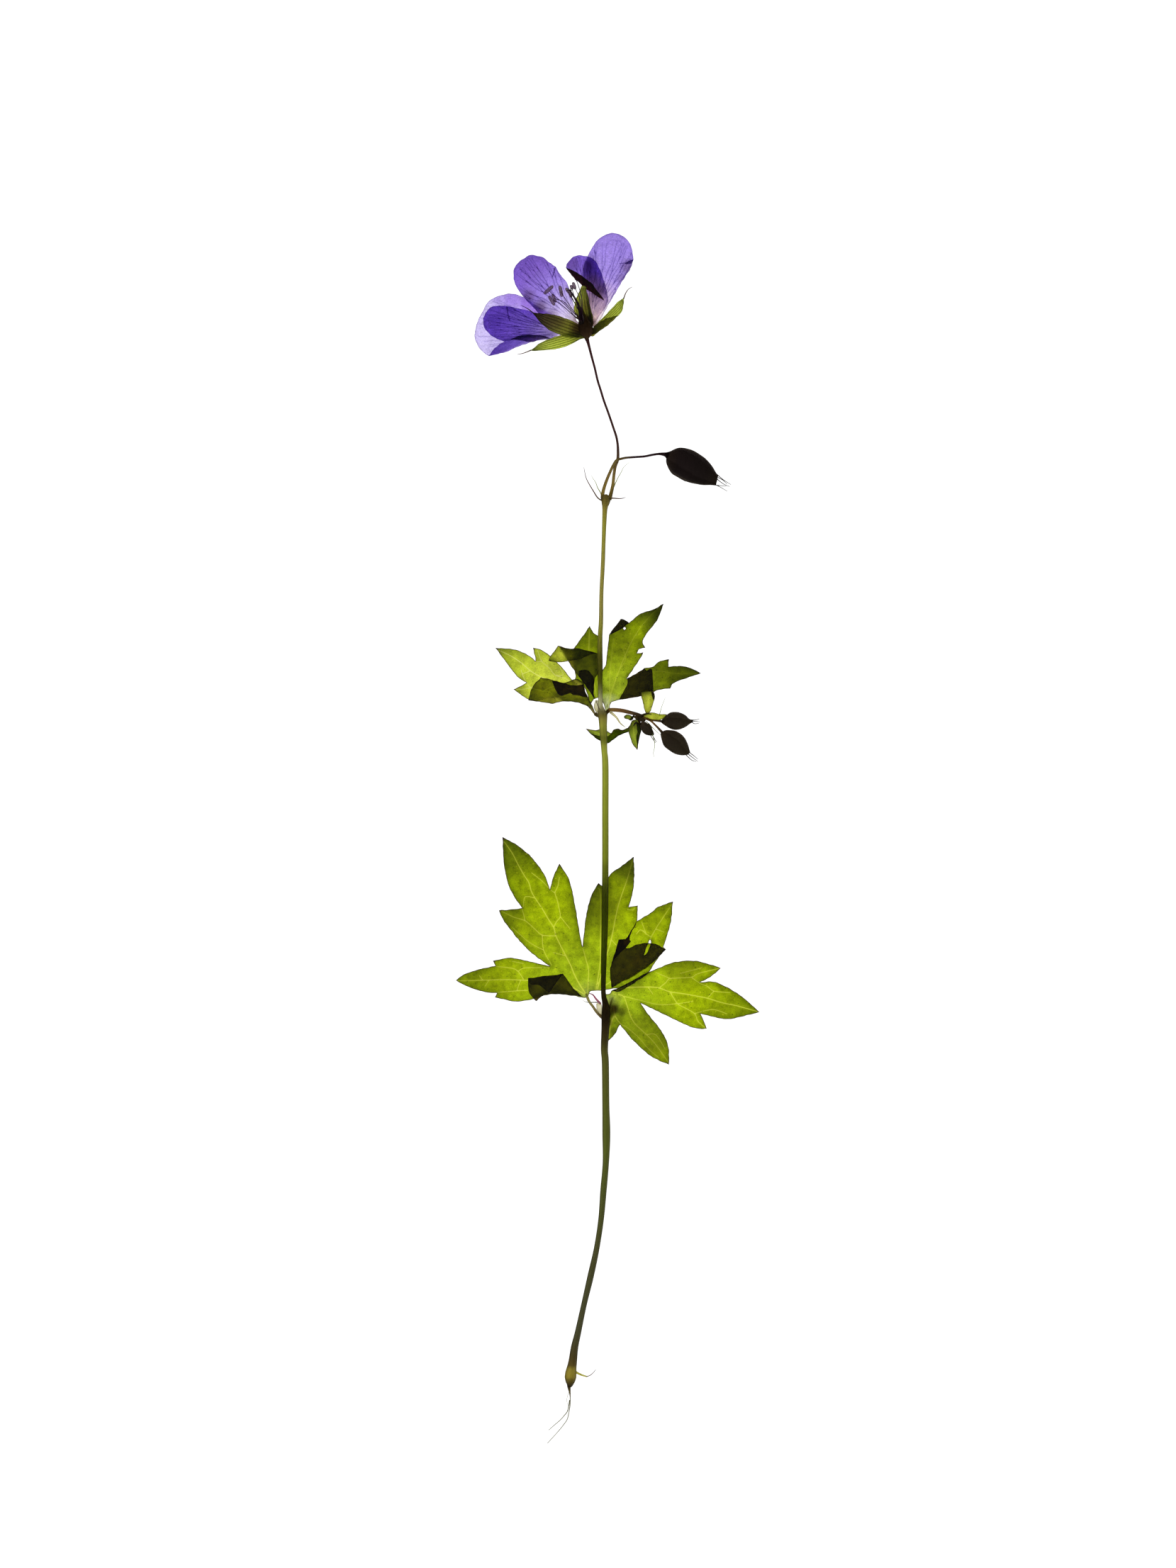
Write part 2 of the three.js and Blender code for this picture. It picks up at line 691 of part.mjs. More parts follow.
// Filaments spread from the column over the petals. Each ends in the middle of its anther,
// and those that reach past the sepals drop towards the petals.
const stamens = [
  { bends: [[-1.9, 3.2], [-3.8, 5.5]], anther: [[-8.6, 8], [-6.7, 9.8]], drop: 1.1 },
  { bends: [[-2, 3], [-4, 4.9]], anther: [[-7.6, 7.7], [-6.5, 5.6]], drop: 1.1 },
  { bends: [[-2, 3.8], [-4, 5.8]], anther: [[-6.9, 8.1], [-6.1, 6.3]], drop: 0.9 },
  { bends: [[-1.8, 4.4], [-3.3, 6.6]], anther: [[-5.3, 9.8], [-4.8, 7.4]], drop: 0.6 },
  { bends: [[-1.4, 4.8], [-2.4, 6.8]], anther: [[-4, 9.3], [-3.3, 7.9]], drop: 0.3 },
  { bends: [[-1, 4.8], [-1.7, 7]], anther: [[-3, 9.9], [-2.6, 8.9]], drop: 0 },
  { bends: [[-0.6, 5], [-1.2, 7.4]], anther: [[-2.5, 10.4], [-2, 9]], drop: 0 },
];

function makeStamens() {
  const z = 3 * layer + bladeThickness + clearance + filamentRadius;
  const place = ([x, y]) => [x + receptacle.x, y + receptacle.y];
  const column = stalk(
    [
      [...place([-0.3, 1.4]), z + 0.3, 0.5],
      [...place([-0.6, 3]), z + 0.3, 0.6],
      [...place([-1.3, 5.3]), z + 0.1, 0.35],
      [...place([-1.9, 7.6]), z, 0.3],
    ],
    6,
  );
  const parts = stamens.flatMap(({ bends, anther, drop }) => {
    const middle = [0, 1].map((k) => (anther[0][k] + anther[1][k]) / 2);
    const bed = [[-0.5, 2], ...bends, middle];
    const filament = bed.map((point, i) => [
      ...place(point),
      z - drop * (i / (bends.length + 1)) ** 2,
      filamentRadius,
    ]);
    const sac = anther.map((point) => [...place(point), z - drop, antherRadius]);
    return [stalk(filament, 5), stalk(sac, 6)];
  });
  return fuse([column, ...parts]);
}

// ---- The two stalks above the fork ----

function makeFlowerStalk() {
  const z = 0.35;
  return stalk([
    [0.55, 73.1, 0.8, 0.3],
    [1.3, 77, 0.45, 0.3],
    [2.1, 80, z, 0.3],
    [2.1, 83.7, z, 0.3],
    [0.8, 88.2, z, 0.3],
    [-1.5, 95, z, 0.3],
    [-3.3, 101.7, 0.8, 0.3],
    [-4.45, 105.5, 1.2, 0.35],
  ]);
}

// The bud's stalk crosses over the flower's stalk just above the fork.
function makeBudStalk() {
  const crossing = 1.5;
  return stalk([
    [-0.75, 73.2, 0.85, 0.3],
    [-0.3, 75.5, 1, 0.3],
    [1, 78.9, crossing, 0.3],
    [2.4, 80.4, crossing, 0.3],
    [5, 80.6, 1.5, 0.3],
    [8, 80.8, 1.8, 0.3],
    [11.8, 81.2, 1.86, 0.3],
  ]);
}

// ---- The plant ----

const plant = new THREE.Group();
addMesh(plant, "stem", makeStem(), colours.stem);
addMesh(plant, "flower_stalk", makeFlowerStalk(), colours.stalk);
addMesh(plant, "bud_stalk", makeBudStalk(), colours.stalk);

const leaves = {
  lower_leaf_left: lowerLeft,
  lower_leaf_right: lowerRight,
  upper_leaf_left: upperLeft,
  upper_leaf_right: upperRight,
};
for (const [name, leaf] of Object.entries(leaves)) {
  addMesh(plant, name, makeLeaf(leaf), colours.leaf);
}

addMesh(plant, "side_shoot", makeSideShoot(), colours.stalk);
for (const [name, { level, edges }] of Object.entries(sideLeaves)) {
  const surface = () => level * layer;
  addMesh(plant, name, blade(outlinePoints(edges, sideRoot), surface), colours.youngLeaf);
}
for (const [name, bud] of Object.entries(buds)) {
  addMesh(plant, name, makeBud(bud), colours.bud, 0.5);
}

for (const [name, petal] of Object.entries(petals)) {
  addMesh(plant, name, makePetal(petal), petal.colour, 0.5);
}
addMesh(plant, "calyx", makeCalyx(), colours.sepal);
addMesh(plant, "stamens", makeStamens(), colours.stamen);

export default plant;
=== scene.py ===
import math
import random
import bpy
import numpy as np
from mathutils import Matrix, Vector, geometry, noise


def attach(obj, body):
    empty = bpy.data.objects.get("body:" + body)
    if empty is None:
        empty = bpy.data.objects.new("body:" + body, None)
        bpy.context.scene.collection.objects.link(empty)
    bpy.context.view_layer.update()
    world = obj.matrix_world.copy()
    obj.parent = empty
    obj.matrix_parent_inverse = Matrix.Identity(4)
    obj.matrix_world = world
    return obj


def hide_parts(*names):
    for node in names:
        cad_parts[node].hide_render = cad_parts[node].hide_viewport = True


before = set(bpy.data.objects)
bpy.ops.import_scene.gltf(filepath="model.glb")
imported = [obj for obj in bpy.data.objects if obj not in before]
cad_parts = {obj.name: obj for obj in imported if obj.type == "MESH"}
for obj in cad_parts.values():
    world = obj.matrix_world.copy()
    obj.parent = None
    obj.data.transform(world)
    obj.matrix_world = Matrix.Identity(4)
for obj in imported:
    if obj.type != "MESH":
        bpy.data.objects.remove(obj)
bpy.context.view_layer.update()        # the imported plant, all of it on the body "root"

scene = bpy.context.scene
print("frame loaded,", len(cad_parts), "nodes")

# All the sizes below are millimetres in the plant's own frame: x to the right, y towards
# the flower, z up from the surface. They turn into metres where a mesh is made.

mm = 0.001
tiny = 1e-6              # keeps a division away from zero
far = 4.0                # distances along a blade are measured up to here


# Lines and distances

def smoothStep(value, low, high):
    t = np.clip((np.asarray(value, float) - low) / (high - low), 0, 1)
    return t * t * (3 - 2 * t)


def smoothLine(points, step):
    # A smooth line through the points, cut every step mm. It carries any extra values along.
    points = np.array(points, float)
    last = len(points) - 1
    line = []
    for i in range(last):
        before, start, end, after = points[max(i - 1, 0)], points[i], points[i + 1], points[min(i + 2, last)]
        count = max(1, int(round(np.linalg.norm((end - start)[:2]) / step)))
        if last == 1:
            before, after = 2 * start - end, 2 * end - start
        pull, push = (end - before) / 2, (after - start) / 2
        for t in np.arange(count) / count:
            line.append((2 * start - 2 * end + pull + push) * t**3
                        + (3 * end - 3 * start - 2 * pull - push) * t**2 + pull * t + start)
    return np.array(line + [points[-1]])


def resample(line, count):
    # The same line, cut into evenly spaced points
    fine = smoothLine(line, 0.1)
    travelled = np.concatenate([[0], np.cumsum(np.linalg.norm(np.diff(fine, axis=0), axis=1))])
    wanted = np.linspace(0, travelled[-1], count)
    return np.column_stack([np.interp(wanted, travelled, fine[:, k]) for k in range(fine.shape[1])])


def edgeLine(edges, k, step):
    # Edge k of an outline runs on to the first point of the next edge.
    return smoothLine(list(edges[k]) + [edges[(k + 1) % len(edges)][0]], step)


def outlineLoop(edges, step):
    return np.concatenate([edgeLine(edges, k, step)[:-1] for k in range(len(edges))])


def insideLoop(points, loop):
    x, y = points[:, 0], points[:, 1]
    inside = np.zeros(len(points), bool)
    for (ax, ay), (bx, by) in zip(loop, np.roll(loop, -1, axis=0)):
        if ay != by:
            crosses = (ay > y) != (by > y)
            inside ^= crosses & (x < (bx - ax) * (y - ay) / (by - ay) + ax)
    return inside


def lineDistance(points, line, startWidth=0.0, endWidth=0.0, limit=far):
    # How far each point lies from the line's edge, for a line that thins from start to end
    best = np.full(len(points), limit)
    spans = max(len(line) - 1, 1)
    for i in range(len(line) - 1):
        a, b = line[i, :2], line[i + 1, :2]
        ab = b - a
        t = np.clip(((points - a) @ ab) / max(ab @ ab, 1e-9), 0, 1)
        width = startWidth + (endWidth - startWidth) * (i + t) / spans
        best = np.minimum(best, np.hypot(*(points - a - t[:, None] * ab).T) - width)
    return best


def nearest(points, lines):
    return np.min([lineDistance(points, line) for line in lines], axis=0)


def ripple(x, y, size, seed):
    return np.array([noise.noise(Vector((a / size, b / size, seed))) for a, b in zip(x, y)])


def wobbled(points, amount, size=0.9):
    # The small unevenness of a grown or torn edge
    moved = np.column_stack([ripple(points[:, 0], points[:, 1], size, seed) for seed in (3.1, 8.7)])
    return points + amount * moved


# Meshes

sheetForm = {
    "rowStep": 0.866,                             # rows of even triangles
    "rimThickness": 0.45, "rimWidth": 0.7,        # a blade thins towards its rim
    "puffReach": 0.8, "ribReach": 0.25,           # the blade swells between its veins
    "besideVein": 0.13, "besideEdge": 0.06,       # points kept beside a vein and off the rim
    "veinLimit": 2.0,
}


def part(points, faces, marks, material):
    return {"points": points, "faces": faces, "marks": marks, "material": material}


def besideVeins(veinLines, loop, rings):
    # Points just off both sides of each vein, so that two veins close together stay apart
    gap = sheetForm["besideVein"]
    beside = []
    for _, line in veinLines:
        flat = line[:, :2]
        ahead = np.gradient(flat, axis=0)
        ahead /= np.maximum(np.linalg.norm(ahead, axis=1), tiny)[:, None]
        across = gap * np.column_stack([-ahead[:, 1], ahead[:, 0]])
        beside += [flat + across, flat - across]
    beside = np.concatenate(beside)
    beside = beside[insideLoop(beside, loop)]
    room = nearest(beside, [line for _, line in veinLines])
    return beside[(room > gap * 0.6) & (nearest(beside, rings) > sheetForm["besideEdge"])]


def makeSheet(outline, material, height, holes=(), veins=(), cell=0.45, thickness=0.09, vein=0.04,
              base=(0, 0), reach=30.0, marks=None, wobble=0.12, puff=0.1):
    # A thin blade inside an outline: a fine mesh with the veins as edges, closed all round
    loops = [wobbled(outlineLoop(outline, cell * 0.6), wobble)]
    loops += [wobbled(outlineLoop(hole, cell * 0.5), wobble) for hole in holes]
    loop, holeLoops = loops[0], loops[1:]
    rings = [np.vstack([ring, ring[:1]]) for ring in loops]
    veinLines = [(widths, smoothLine(line, cell)) for widths, line in veins]
    points, edges = [], []
    for ring in loops:
        start = len(points)
        points += [tuple(p) for p in ring]
        edges += [(start + i, start + (i + 1) % len(ring)) for i in range(len(ring))]
    for _, line in veinLines:
        keep = line[insideLoop(line[:, :2], loop)]
        start = len(points)
        points += [tuple(p[:2]) for p in keep]
        edges += [(start + i, start + i + 1) for i in range(len(keep) - 1)]
    low, high = loop.min(axis=0), loop.max(axis=0)
    rows = np.arange(low[1], high[1], cell * sheetForm["rowStep"])
    grid = np.array([(x + cell / 2 * (k % 2), y)
                     for k, y in enumerate(rows) for x in np.arange(low[0], high[0], cell)])
    grid = grid[insideLoop(grid, loop)]
    room = nearest(grid, rings)
    for _, line in veinLines:
        room = np.minimum(room, lineDistance(grid, line) + cell * 0.15)
    for ring in holeLoops:
        room[insideLoop(grid, ring)] = 0
    points += [tuple(p) for p in grid[room > cell * 0.5]]
    if veinLines:
        points += [tuple(p) for p in besideVeins(veinLines, loop, rings)]
    flat, _, triangles, _, _, _ = geometry.delaunay_2d_cdt([Vector(p) for p in points], edges, [], 0, 1e-4)
    flat = np.array([(p.x, p.y) for p in flat])
    triangles = np.array([t for t in triangles if len(t) == 3])
    middle = flat[triangles].mean(axis=1)
    kept = insideLoop(middle, loop)
    for ring in holeLoops:
        kept &= ~insideLoop(middle, ring)
    used, triangles = np.unique(triangles[kept], return_inverse=True)
    triangles = triangles.reshape(-1, 3)
    flat = flat[used]
    a, b, c = (flat[triangles[:, k]] for k in range(3))
    turn = (b - a)[:, 0] * (c - a)[:, 1] - (b - a)[:, 1] * (c - a)[:, 0]
    triangles[turn < 0] = triangles[turn < 0][:, ::-1]

    count = len(flat)
    limit = sheetForm["veinLimit"]
    margin = np.clip(nearest(flat, rings), 0, far)
    veinGap = np.full(count, limit)
    for widths, line in veinLines:
        veinGap = np.minimum(veinGap, lineDistance(flat, line, *widths, limit))
    along = np.clip(np.hypot(flat[:, 0] - base[0], flat[:, 1] - base[1]) / reach, 0, 1)
    fold = marks(flat[:, 0], flat[:, 1]) if marks else np.zeros(count)
    fromVein = np.clip(veinGap, 0, limit)
    z = height(flat[:, 0], flat[:, 1])
    z = z + puff * (1 - np.exp(-fromVein / sheetForm["puffReach"])) * smoothStep(margin, 0, 1)
    rim = sheetForm["rimThickness"]
    half = thickness / 2 * (rim + (1 - rim) * smoothStep(margin, 0, sheetForm["rimWidth"]))
    rib = vein * np.exp(-(fromVein / sheetForm["ribReach"]) ** 2)
    top, bottom = np.column_stack([flat, z + half]), np.column_stack([flat, z - half - rib])
    rimEdges = {}
    for t in triangles:
        for k in range(3):
            p, q = int(t[k]), int(t[(k + 1) % 3])
            if rimEdges.pop((q, p), None) is None:
                rimEdges[(p, q)] = True
    faces = [tuple(int(i) for i in t) for t in triangles]
    faces += [tuple(int(i) + count for i in t[::-1]) for t in triangles]
    faces += [(p, p + count, q + count, q) for p, q in rimEdges]
    given = {"margin": margin, "vein": veinGap, "along": along, "fold": fold}
    return part(np.vstack([top, bottom]), faces, {key: np.tile(value, 2) for key, value in given.items()}, material)


def makeTube(route, material, sides=14, step=0.5, tall=1.0, ribs=0, ribDepth=0.05, section=None):
    # A stalk along a route of (x, y, z, radius), with lengthwise ribs or any other section
    line = smoothLine(route, step)
    centre, radius = line[:, :3], np.maximum(line[:, 3], 0.02)
    ahead = np.gradient(centre, axis=0)
    ahead /= np.linalg.norm(ahead, axis=1)[:, None]
    side = np.cross(ahead, (0, 0, 1))
    side /= np.linalg.norm(side, axis=1)[:, None]
    up = np.cross(side, ahead)
    angles = np.arange(sides) / sides * 2 * math.pi
    shape = section(angles) if section else 1 + ribDepth * np.cos(ribs * angles) if ribs else np.ones(sides)
    across, high = np.cos(angles) * shape, np.sin(angles) * shape * tall
    points = np.concatenate([c + np.outer(across * r, s) + np.outer(high * r, u)
                             for c, s, u, r in zip(centre, side, up, radius)])
    n = len(centre)
    faces = [(i * sides + k, i * sides + (k + 1) % sides, (i + 1) * sides + (k + 1) % sides, (i + 1) * sides + k)
             for i in range(n - 1) for k in range(sides)]
    travelled = np.concatenate([[0], np.cumsum(np.linalg.norm(np.diff(centre, axis=0), axis=1))])
    travelled /= max(travelled[-1], tiny)
    given = {"flank": np.tile(np.abs(np.cos(angles)), n), "along": np.repeat(travelled, sides),
             "rib": np.tile((shape - shape.min()) / max(np.ptp(shape), tiny), n)}
    for end, ring, sign in ((0, 0, -1), (1, n - 1, 1)):
        index = len(points)
        points = np.vstack([points, centre[ring] + sign * ahead[ring] * radius[ring] * 0.6])      # a blunt tip
        for key, value in (("flank", 0.6), ("along", float(end)), ("rib", 0.5)):
            given[key] = np.append(given[key], value)
        for k in range(sides):
            p, q = ring * sides + k, ring * sides + (k + 1) % sides
            faces.append((p, q, index) if end else (q, p, index))
    given["fold"] = np.zeros(len(points))
    return part(points, faces, given, material)


def threads(lines, z, width, material, taper=0.35, sides=7):
    # Hairs, awns and bracts: thin pointed tubes along flat lines
    parts = []
    for line in lines:
        last = len(line) - 1
        route = [(x, y, z, width * (1 - (1 - taper) * i / last)) for i, (x, y) in enumerate(line)]
        parts.append(makeTube(route, material, sides=sides, step=0.3))
    return parts


def makeLoft(leftEdge, rightEdge, z, flatness, material, sides=40, rings=44, ledges=4, ledgeDepth=0.06,
             twist=0.0, curl=0.0):
    # A closed body between two edges seen from above. Its ledges are sepals that overlap.
    left, right = resample(leftEdge, rings), resample(rightEdge, rings)
    centre, half = (left + right) / 2, np.linalg.norm(left - right, axis=1) / 2
    side = (right - left) / np.maximum(2 * half, tiny)[:, None]
    angles = np.arange(sides) / sides * 2 * math.pi
    points, rib = [], []
    for i in range(rings):
        t = i / (rings - 1)
        phase = (ledges * angles / (2 * math.pi) + twist * t + curl) % 1
        shape = 1 + ledgeDepth * (phase - 0.5) * math.sin(math.pi * min(t * 1.2 + 0.1, 1))
        x = np.cos(angles) * np.maximum(shape, 0) * half[i]
        for k in range(sides):
            points.append((*(centre[i] + side[i] * x[k]), z + math.sin(angles[k]) * half[i] * flatness * shape[k]))
        rib.append(phase)
    faces = [(i * sides + (k + 1) % sides, (i + 1) * sides + (k + 1) % sides, (i + 1) * sides + k, i * sides + k)
             for i in range(rings - 1) for k in range(sides)]
    faces.append(tuple(range(sides))[::-1])
    faces.append(tuple((rings - 1) * sides + k for k in range(sides)))
    given = {"flank": np.tile(np.abs(np.cos(angles)), rings), "rib": np.concatenate(rib),
             "along": np.repeat(np.arange(rings) / (rings - 1), sides), "fold": np.zeros(len(points))}
    return part(np.array(points), faces, given, material)


def makePiece(name, parts, slot, *nodes):
    # Joins the parts into one piece, which stands for the nodes and rides the body
    points = np.concatenate([p["points"] * mm for p in parts])
    faces, slots, materials = [], [], []
    start = 0
    for p in parts:
        faces += [tuple(i + start for i in face) for face in p["faces"]]
        start += len(p["points"])
        if p["material"] not in materials:
            materials.append(p["material"])
        slots += [materials.index(p["material"])] * len(p["faces"])
    mesh = bpy.data.meshes.new(name)
    mesh.from_pydata(points.tolist(), [], faces)
    for material in materials:
        mesh.materials.append(material)
    mesh.polygons.foreach_set("material_index", slots)
    mesh.polygons.foreach_set("use_smooth", [True] * len(faces))
    for key in sorted({key for p in parts for key in p["marks"]}):
        values = np.concatenate([p["marks"].get(key, np.zeros(len(p["points"]))) for p in parts])
        mesh.attributes.new(key, "FLOAT", "POINT").data.foreach_set("value", values.astype(np.float32))
    mesh.update()
    piece = bpy.data.objects.new(name, mesh)
    scene.collection.objects.link(piece)
    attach(piece, "root")
    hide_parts(*nodes)


# Colours and shader groups

def tint(code):
    # "#rrggbb" as the linear colour that Blender's sockets take
    values = [int(code[i:i + 2], 16) / 255 for i in (1, 3, 5)]
    return [v / 12.92 if v <= 0.04045 else ((v + 0.055) / 1.055) ** 2.4 for v in values] + [1.0]


def grey(value):
    return (value, value, value, 1.0)


def addNode(tree, kind, inputs=None, **settings):
    node = tree.nodes.new(kind)
    for key, value in settings.items():
        setattr(node, key, value)
    for key, value in (inputs or {}).items():
        if isinstance(value, bpy.types.NodeSocket):
            tree.links.new(value, node.inputs[key])
        else:
            node.inputs[key].default_value = value
    return node


def mathNode(tree, operation, a, b, clamp=False):
    return addNode(tree, "ShaderNodeMath", {0: a, 1: b}, operation=operation, use_clamp=clamp).outputs[0]


def times(tree, a, b):
    return mathNode(tree, "MULTIPLY", a, b)


def mixColours(tree, factor, a, b, blend="MIX"):
    return addNode(tree, "ShaderNodeMix", {0: factor, 6: a, 7: b}, data_type="RGBA", blend_type=blend).outputs[2]


def spread(tree, value, low, high, start=0.0, end=1.0, curve="LINEAR"):
    # The value, stretched from low..high to start..end
    ends = {"From Min": low, "From Max": high, "To Min": start, "To Max": end}
    return addNode(tree, "ShaderNodeMapRange", {"Value": value, **ends}, interpolation_type=curve).outputs["Result"]


def split(tree, colour):
    return addNode(tree, "ShaderNodeSeparateColor", {"Color": colour}).outputs


def newGroup(name, inputs, outputs):
    # Inputs are numbers with their first value, or None for a place. All outputs are numbers.
    group = bpy.data.node_groups.new(name, "ShaderNodeTree")
    for title, value in inputs.items():
        kind = "NodeSocketVector" if value is None else "NodeSocketFloat"
        socket = group.interface.new_socket(name=title, in_out="INPUT", socket_type=kind)
        if value is not None:
            socket.default_value = value
    for title in outputs:
        group.interface.new_socket(name=title, in_out="OUTPUT", socket_type="NodeSocketFloat")
    return group, group.nodes.new("NodeGroupInput").outputs, group.nodes.new("NodeGroupOutput").inputs


def useGroup(tree, group, **inputs):
    return addNode(tree, "ShaderNodeGroup", inputs, node_tree=group).outputs


def makeLineMask():
    # 1 on a line, 0 off it, from the distance to the line's edge in mm
    tree, take, give = newGroup("lineMask", {"Distance": 0.0, "Width": 0.05, "Softness": 0.06}, ["Mask"])
    edge = mathNode(tree, "ADD", take["Width"], take["Softness"])
    tree.links.new(spread(tree, take["Distance"], take["Width"], edge, 1.0, 0.0, "SMOOTHSTEP"), give["Mask"])
    return tree


def makeMottle():
    # Soft uneven patches with a fine grain on top, as a value round 1, and a tone from 0 to 1
    sockets = {"Vector": None, "Scale": 300.0, "Patches": 0.2, "Grain": 0.1}
    tree, take, give = newGroup("mottle", sockets, ["Value", "Tone"])
    patches = addNode(tree, "ShaderNodeTexNoise", {"Vector": take["Vector"], "Scale": take["Scale"], "Detail": 4.0,
                                                   "Roughness": 0.65}).outputs
    grain = addNode(tree, "ShaderNodeTexNoise", {"Vector": take["Vector"], "Scale": times(tree, take["Scale"], 9.0),
                                                 "Detail": 2.0}).outputs
    uneven, fine = (times(tree, mathNode(tree, "SUBTRACT", value, 0.5), strength)
                    for value, strength in ((patches[0], take["Patches"]), (grain[0], take["Grain"])))
    tree.links.new(mathNode(tree, "ADD", mathNode(tree, "ADD", uneven, fine), 1.0), give["Value"])
    tree.links.new(spread(tree, split(tree, grain["Color"])[1], 0.35, 0.65), give["Tone"])
    return tree


def makeSpecks():
    # Scattered round specks. Share is how many of the cells hold one.
    tree, take, give = newGroup("specks", {"Vector": None, "Scale": 700.0, "Size": 0.12, "Share": 0.3}, ["Mask"])
    cells = addNode(tree, "ShaderNodeTexVoronoi", {"Vector": take["Vector"], "Scale": take["Scale"]},
                    voronoi_dimensions="2D").outputs
    dice = split(tree, cells["Color"])
    chosen = mathNode(tree, "LESS_THAN", dice[0], take["Share"])
    size = times(tree, mathNode(tree, "ADD", dice[1], 0.4), take["Size"])
    spot = spread(tree, cells["Distance"], size, times(tree, size, 1.7), 1.0, 0.0)
    tree.links.new(times(tree, spot, chosen), give["Mask"])
    return tree


def makeNet():
    # The finest veins: a net of lines between uneven cells
    tree, take, give = newGroup("net", {"Vector": None, "Scale": 900.0, "Width": 0.06}, ["Mask"])
    bend = addNode(tree, "ShaderNodeTexNoise", {"Vector": take["Vector"], "Scale": take["Scale"]})
    shift = addNode(tree, "ShaderNodeVectorMath", {0: bend.outputs["Color"], 1: (0.0006, 0.0006, 0.0)},
                    operation="MULTIPLY")
    moved = addNode(tree, "ShaderNodeVectorMath", {0: take["Vector"], 1: shift.outputs[0]}, operation="ADD")
    cells = addNode(tree, "ShaderNodeTexVoronoi", {"Vector": moved.outputs[0], "Scale": take["Scale"]},
                    feature="DISTANCE_TO_EDGE", voronoi_dimensions="2D")
    line = spread(tree, cells.outputs["Distance"], 0.0, take["Width"], 1.0, 0.0, "SMOOTHSTEP")
    tree.links.new(line, give["Mask"])
    return tree


lineMask, mottle, specks, net = makeLineMask(), makeMottle(), makeSpecks(), makeNet()


# Materials

lightFromBelow = 1.1     # brightness of the lit surface under the plant
bumpDepth = 0.00008      # metres


def attributes(tree, *names):
    return [addNode(tree, "ShaderNodeAttribute", attribute_name=name, attribute_type="GEOMETRY").outputs["Fac"]
            for name in names]


def objectPlace(tree):
    return addNode(tree, "ShaderNodeTexCoord").outputs["Object"]


def colourRamp(tree, value, stops):
    ramp = addNode(tree, "ShaderNodeValToRGB", {"Fac": value})
    while len(ramp.color_ramp.elements) < len(stops):
        ramp.color_ramp.elements.new(0.5)
    for element, (place, code) in zip(ramp.color_ramp.elements, stops.items()):
        element.position = place
        element.color = tint(code)
    return ramp.outputs["Color"]


def near(tree, distance, width, softness):
    return useGroup(tree, lineMask, Distance=distance, Width=width, Softness=softness)[0]


def mottled(tree, place, look):
    return useGroup(tree, mottle, Vector=place, Scale=look["patchScale"], Patches=look["patches"],
                    Grain=look["grain"])


def layer(tree, colour, mask, look, effect, blend="MIX"):
    # Lays one effect over the colour, with the strength and colour that the look gives it
    share = times(tree, mask, look[effect + "Strength"])
    return mixColours(tree, share, colour, tint(look[effect + "Colour"]), blend)


def throughShader(tree, colour, look, height, front=None):
    # A skin that shows its colour by the light that comes through it, with a weak gloss on top
    share = look["through"]
    boosted = mixColours(tree, 1.0, colour, grey(1 / (share * share * lightFromBelow)), "MULTIPLY")
    oneFace = addNode(tree, "ShaderNodeGamma", {"Color": boosted, "Gamma": 0.5})
    bump = addNode(tree, "ShaderNodeBump", {"Height": height, "Strength": look["relief"], "Distance": bumpDepth})
    skin = addNode(tree, "ShaderNodeBsdfPrincipled", {"Base Color": front or colour, "Normal": bump.outputs[0],
                                                      "Roughness": look["roughness"], "IOR": look["ior"]})
    lit = addNode(tree, "ShaderNodeBsdfTranslucent", {"Color": oneFace.outputs[0]})
    both = addNode(tree, "ShaderNodeMixShader", {0: share, 1: skin.outputs[0], 2: lit.outputs[0]})
    addNode(tree, "ShaderNodeOutputMaterial", {"Surface": both.outputs[0]})


def newMaterial(name):
    material = bpy.data.materials.new(name)
    material.use_nodes = True
    material.node_tree.nodes.clear()
    return material, material.node_tree


def sheetMaterial(name, base, **changes):
    look = dict(base, **changes)
    material, tree = newMaterial(name)
    place = objectPlace(tree)
    veinGap, margin, along, fold = attributes(tree, "vein", "margin", "along", "fold")
    patches = mottled(tree, place, look)
    colour = mixColours(tree, 1.0, colourRamp(tree, along, look["ramp"]), patches[0], "MULTIPLY")
    colour = layer(tree, colour, patches[1], look, "tone", "MULTIPLY")
    netMask = useGroup(tree, net, Vector=place, Scale=look["netScale"], Width=look["netWidth"])[0]
    colour = layer(tree, colour, netMask, look, "net")
    colour = layer(tree, colour, near(tree, veinGap, 0.0, look["veinGlow"]), look, "glow")
    veinMask = near(tree, veinGap, look["veinWidth"], look["veinSoftness"])
    grown = spread(tree, along, look["veinFrom"], look["veinFull"], 0.2, look["veinStrength"])
    colour = mixColours(tree, times(tree, veinMask, grown), colour, tint(look["veinColour"]))
    for spot in ("speck", "dot"):
        if spot + "Scale" in look:
            mask = useGroup(tree, specks, Vector=place, Scale=look[spot + "Scale"], Size=look[spot + "Size"],
                            Share=look[spot + "Share"])[0]
            colour = layer(tree, colour, mask, look, spot)
    colour = layer(tree, colour, near(tree, margin, 0.0, look["shadeWidth"]), look, "shade", "MULTIPLY")
    colour = layer(tree, colour, near(tree, margin, look["rimWidth"], look["rimWidth"]), look, "rim")
    # The fold mark darkens the colour: partly the blade's own darker tone, partly painted shade where layers overlap,
    # round the receptacle and at the stem's node.
    colour = mixColours(tree, fold, colour, tint(look["foldColour"]), "MULTIPLY")
    height = mathNode(tree, "SUBTRACT", patches[0], times(tree, veinMask, 0.6))
    greyed = mathNode(tree, "ADD", times(tree, fold, 1.6), look["frontFloor"], True)
    throughShader(tree, colour, look, height, mixColours(tree, greyed, colour, tint(look["frontColour"])))
    return material


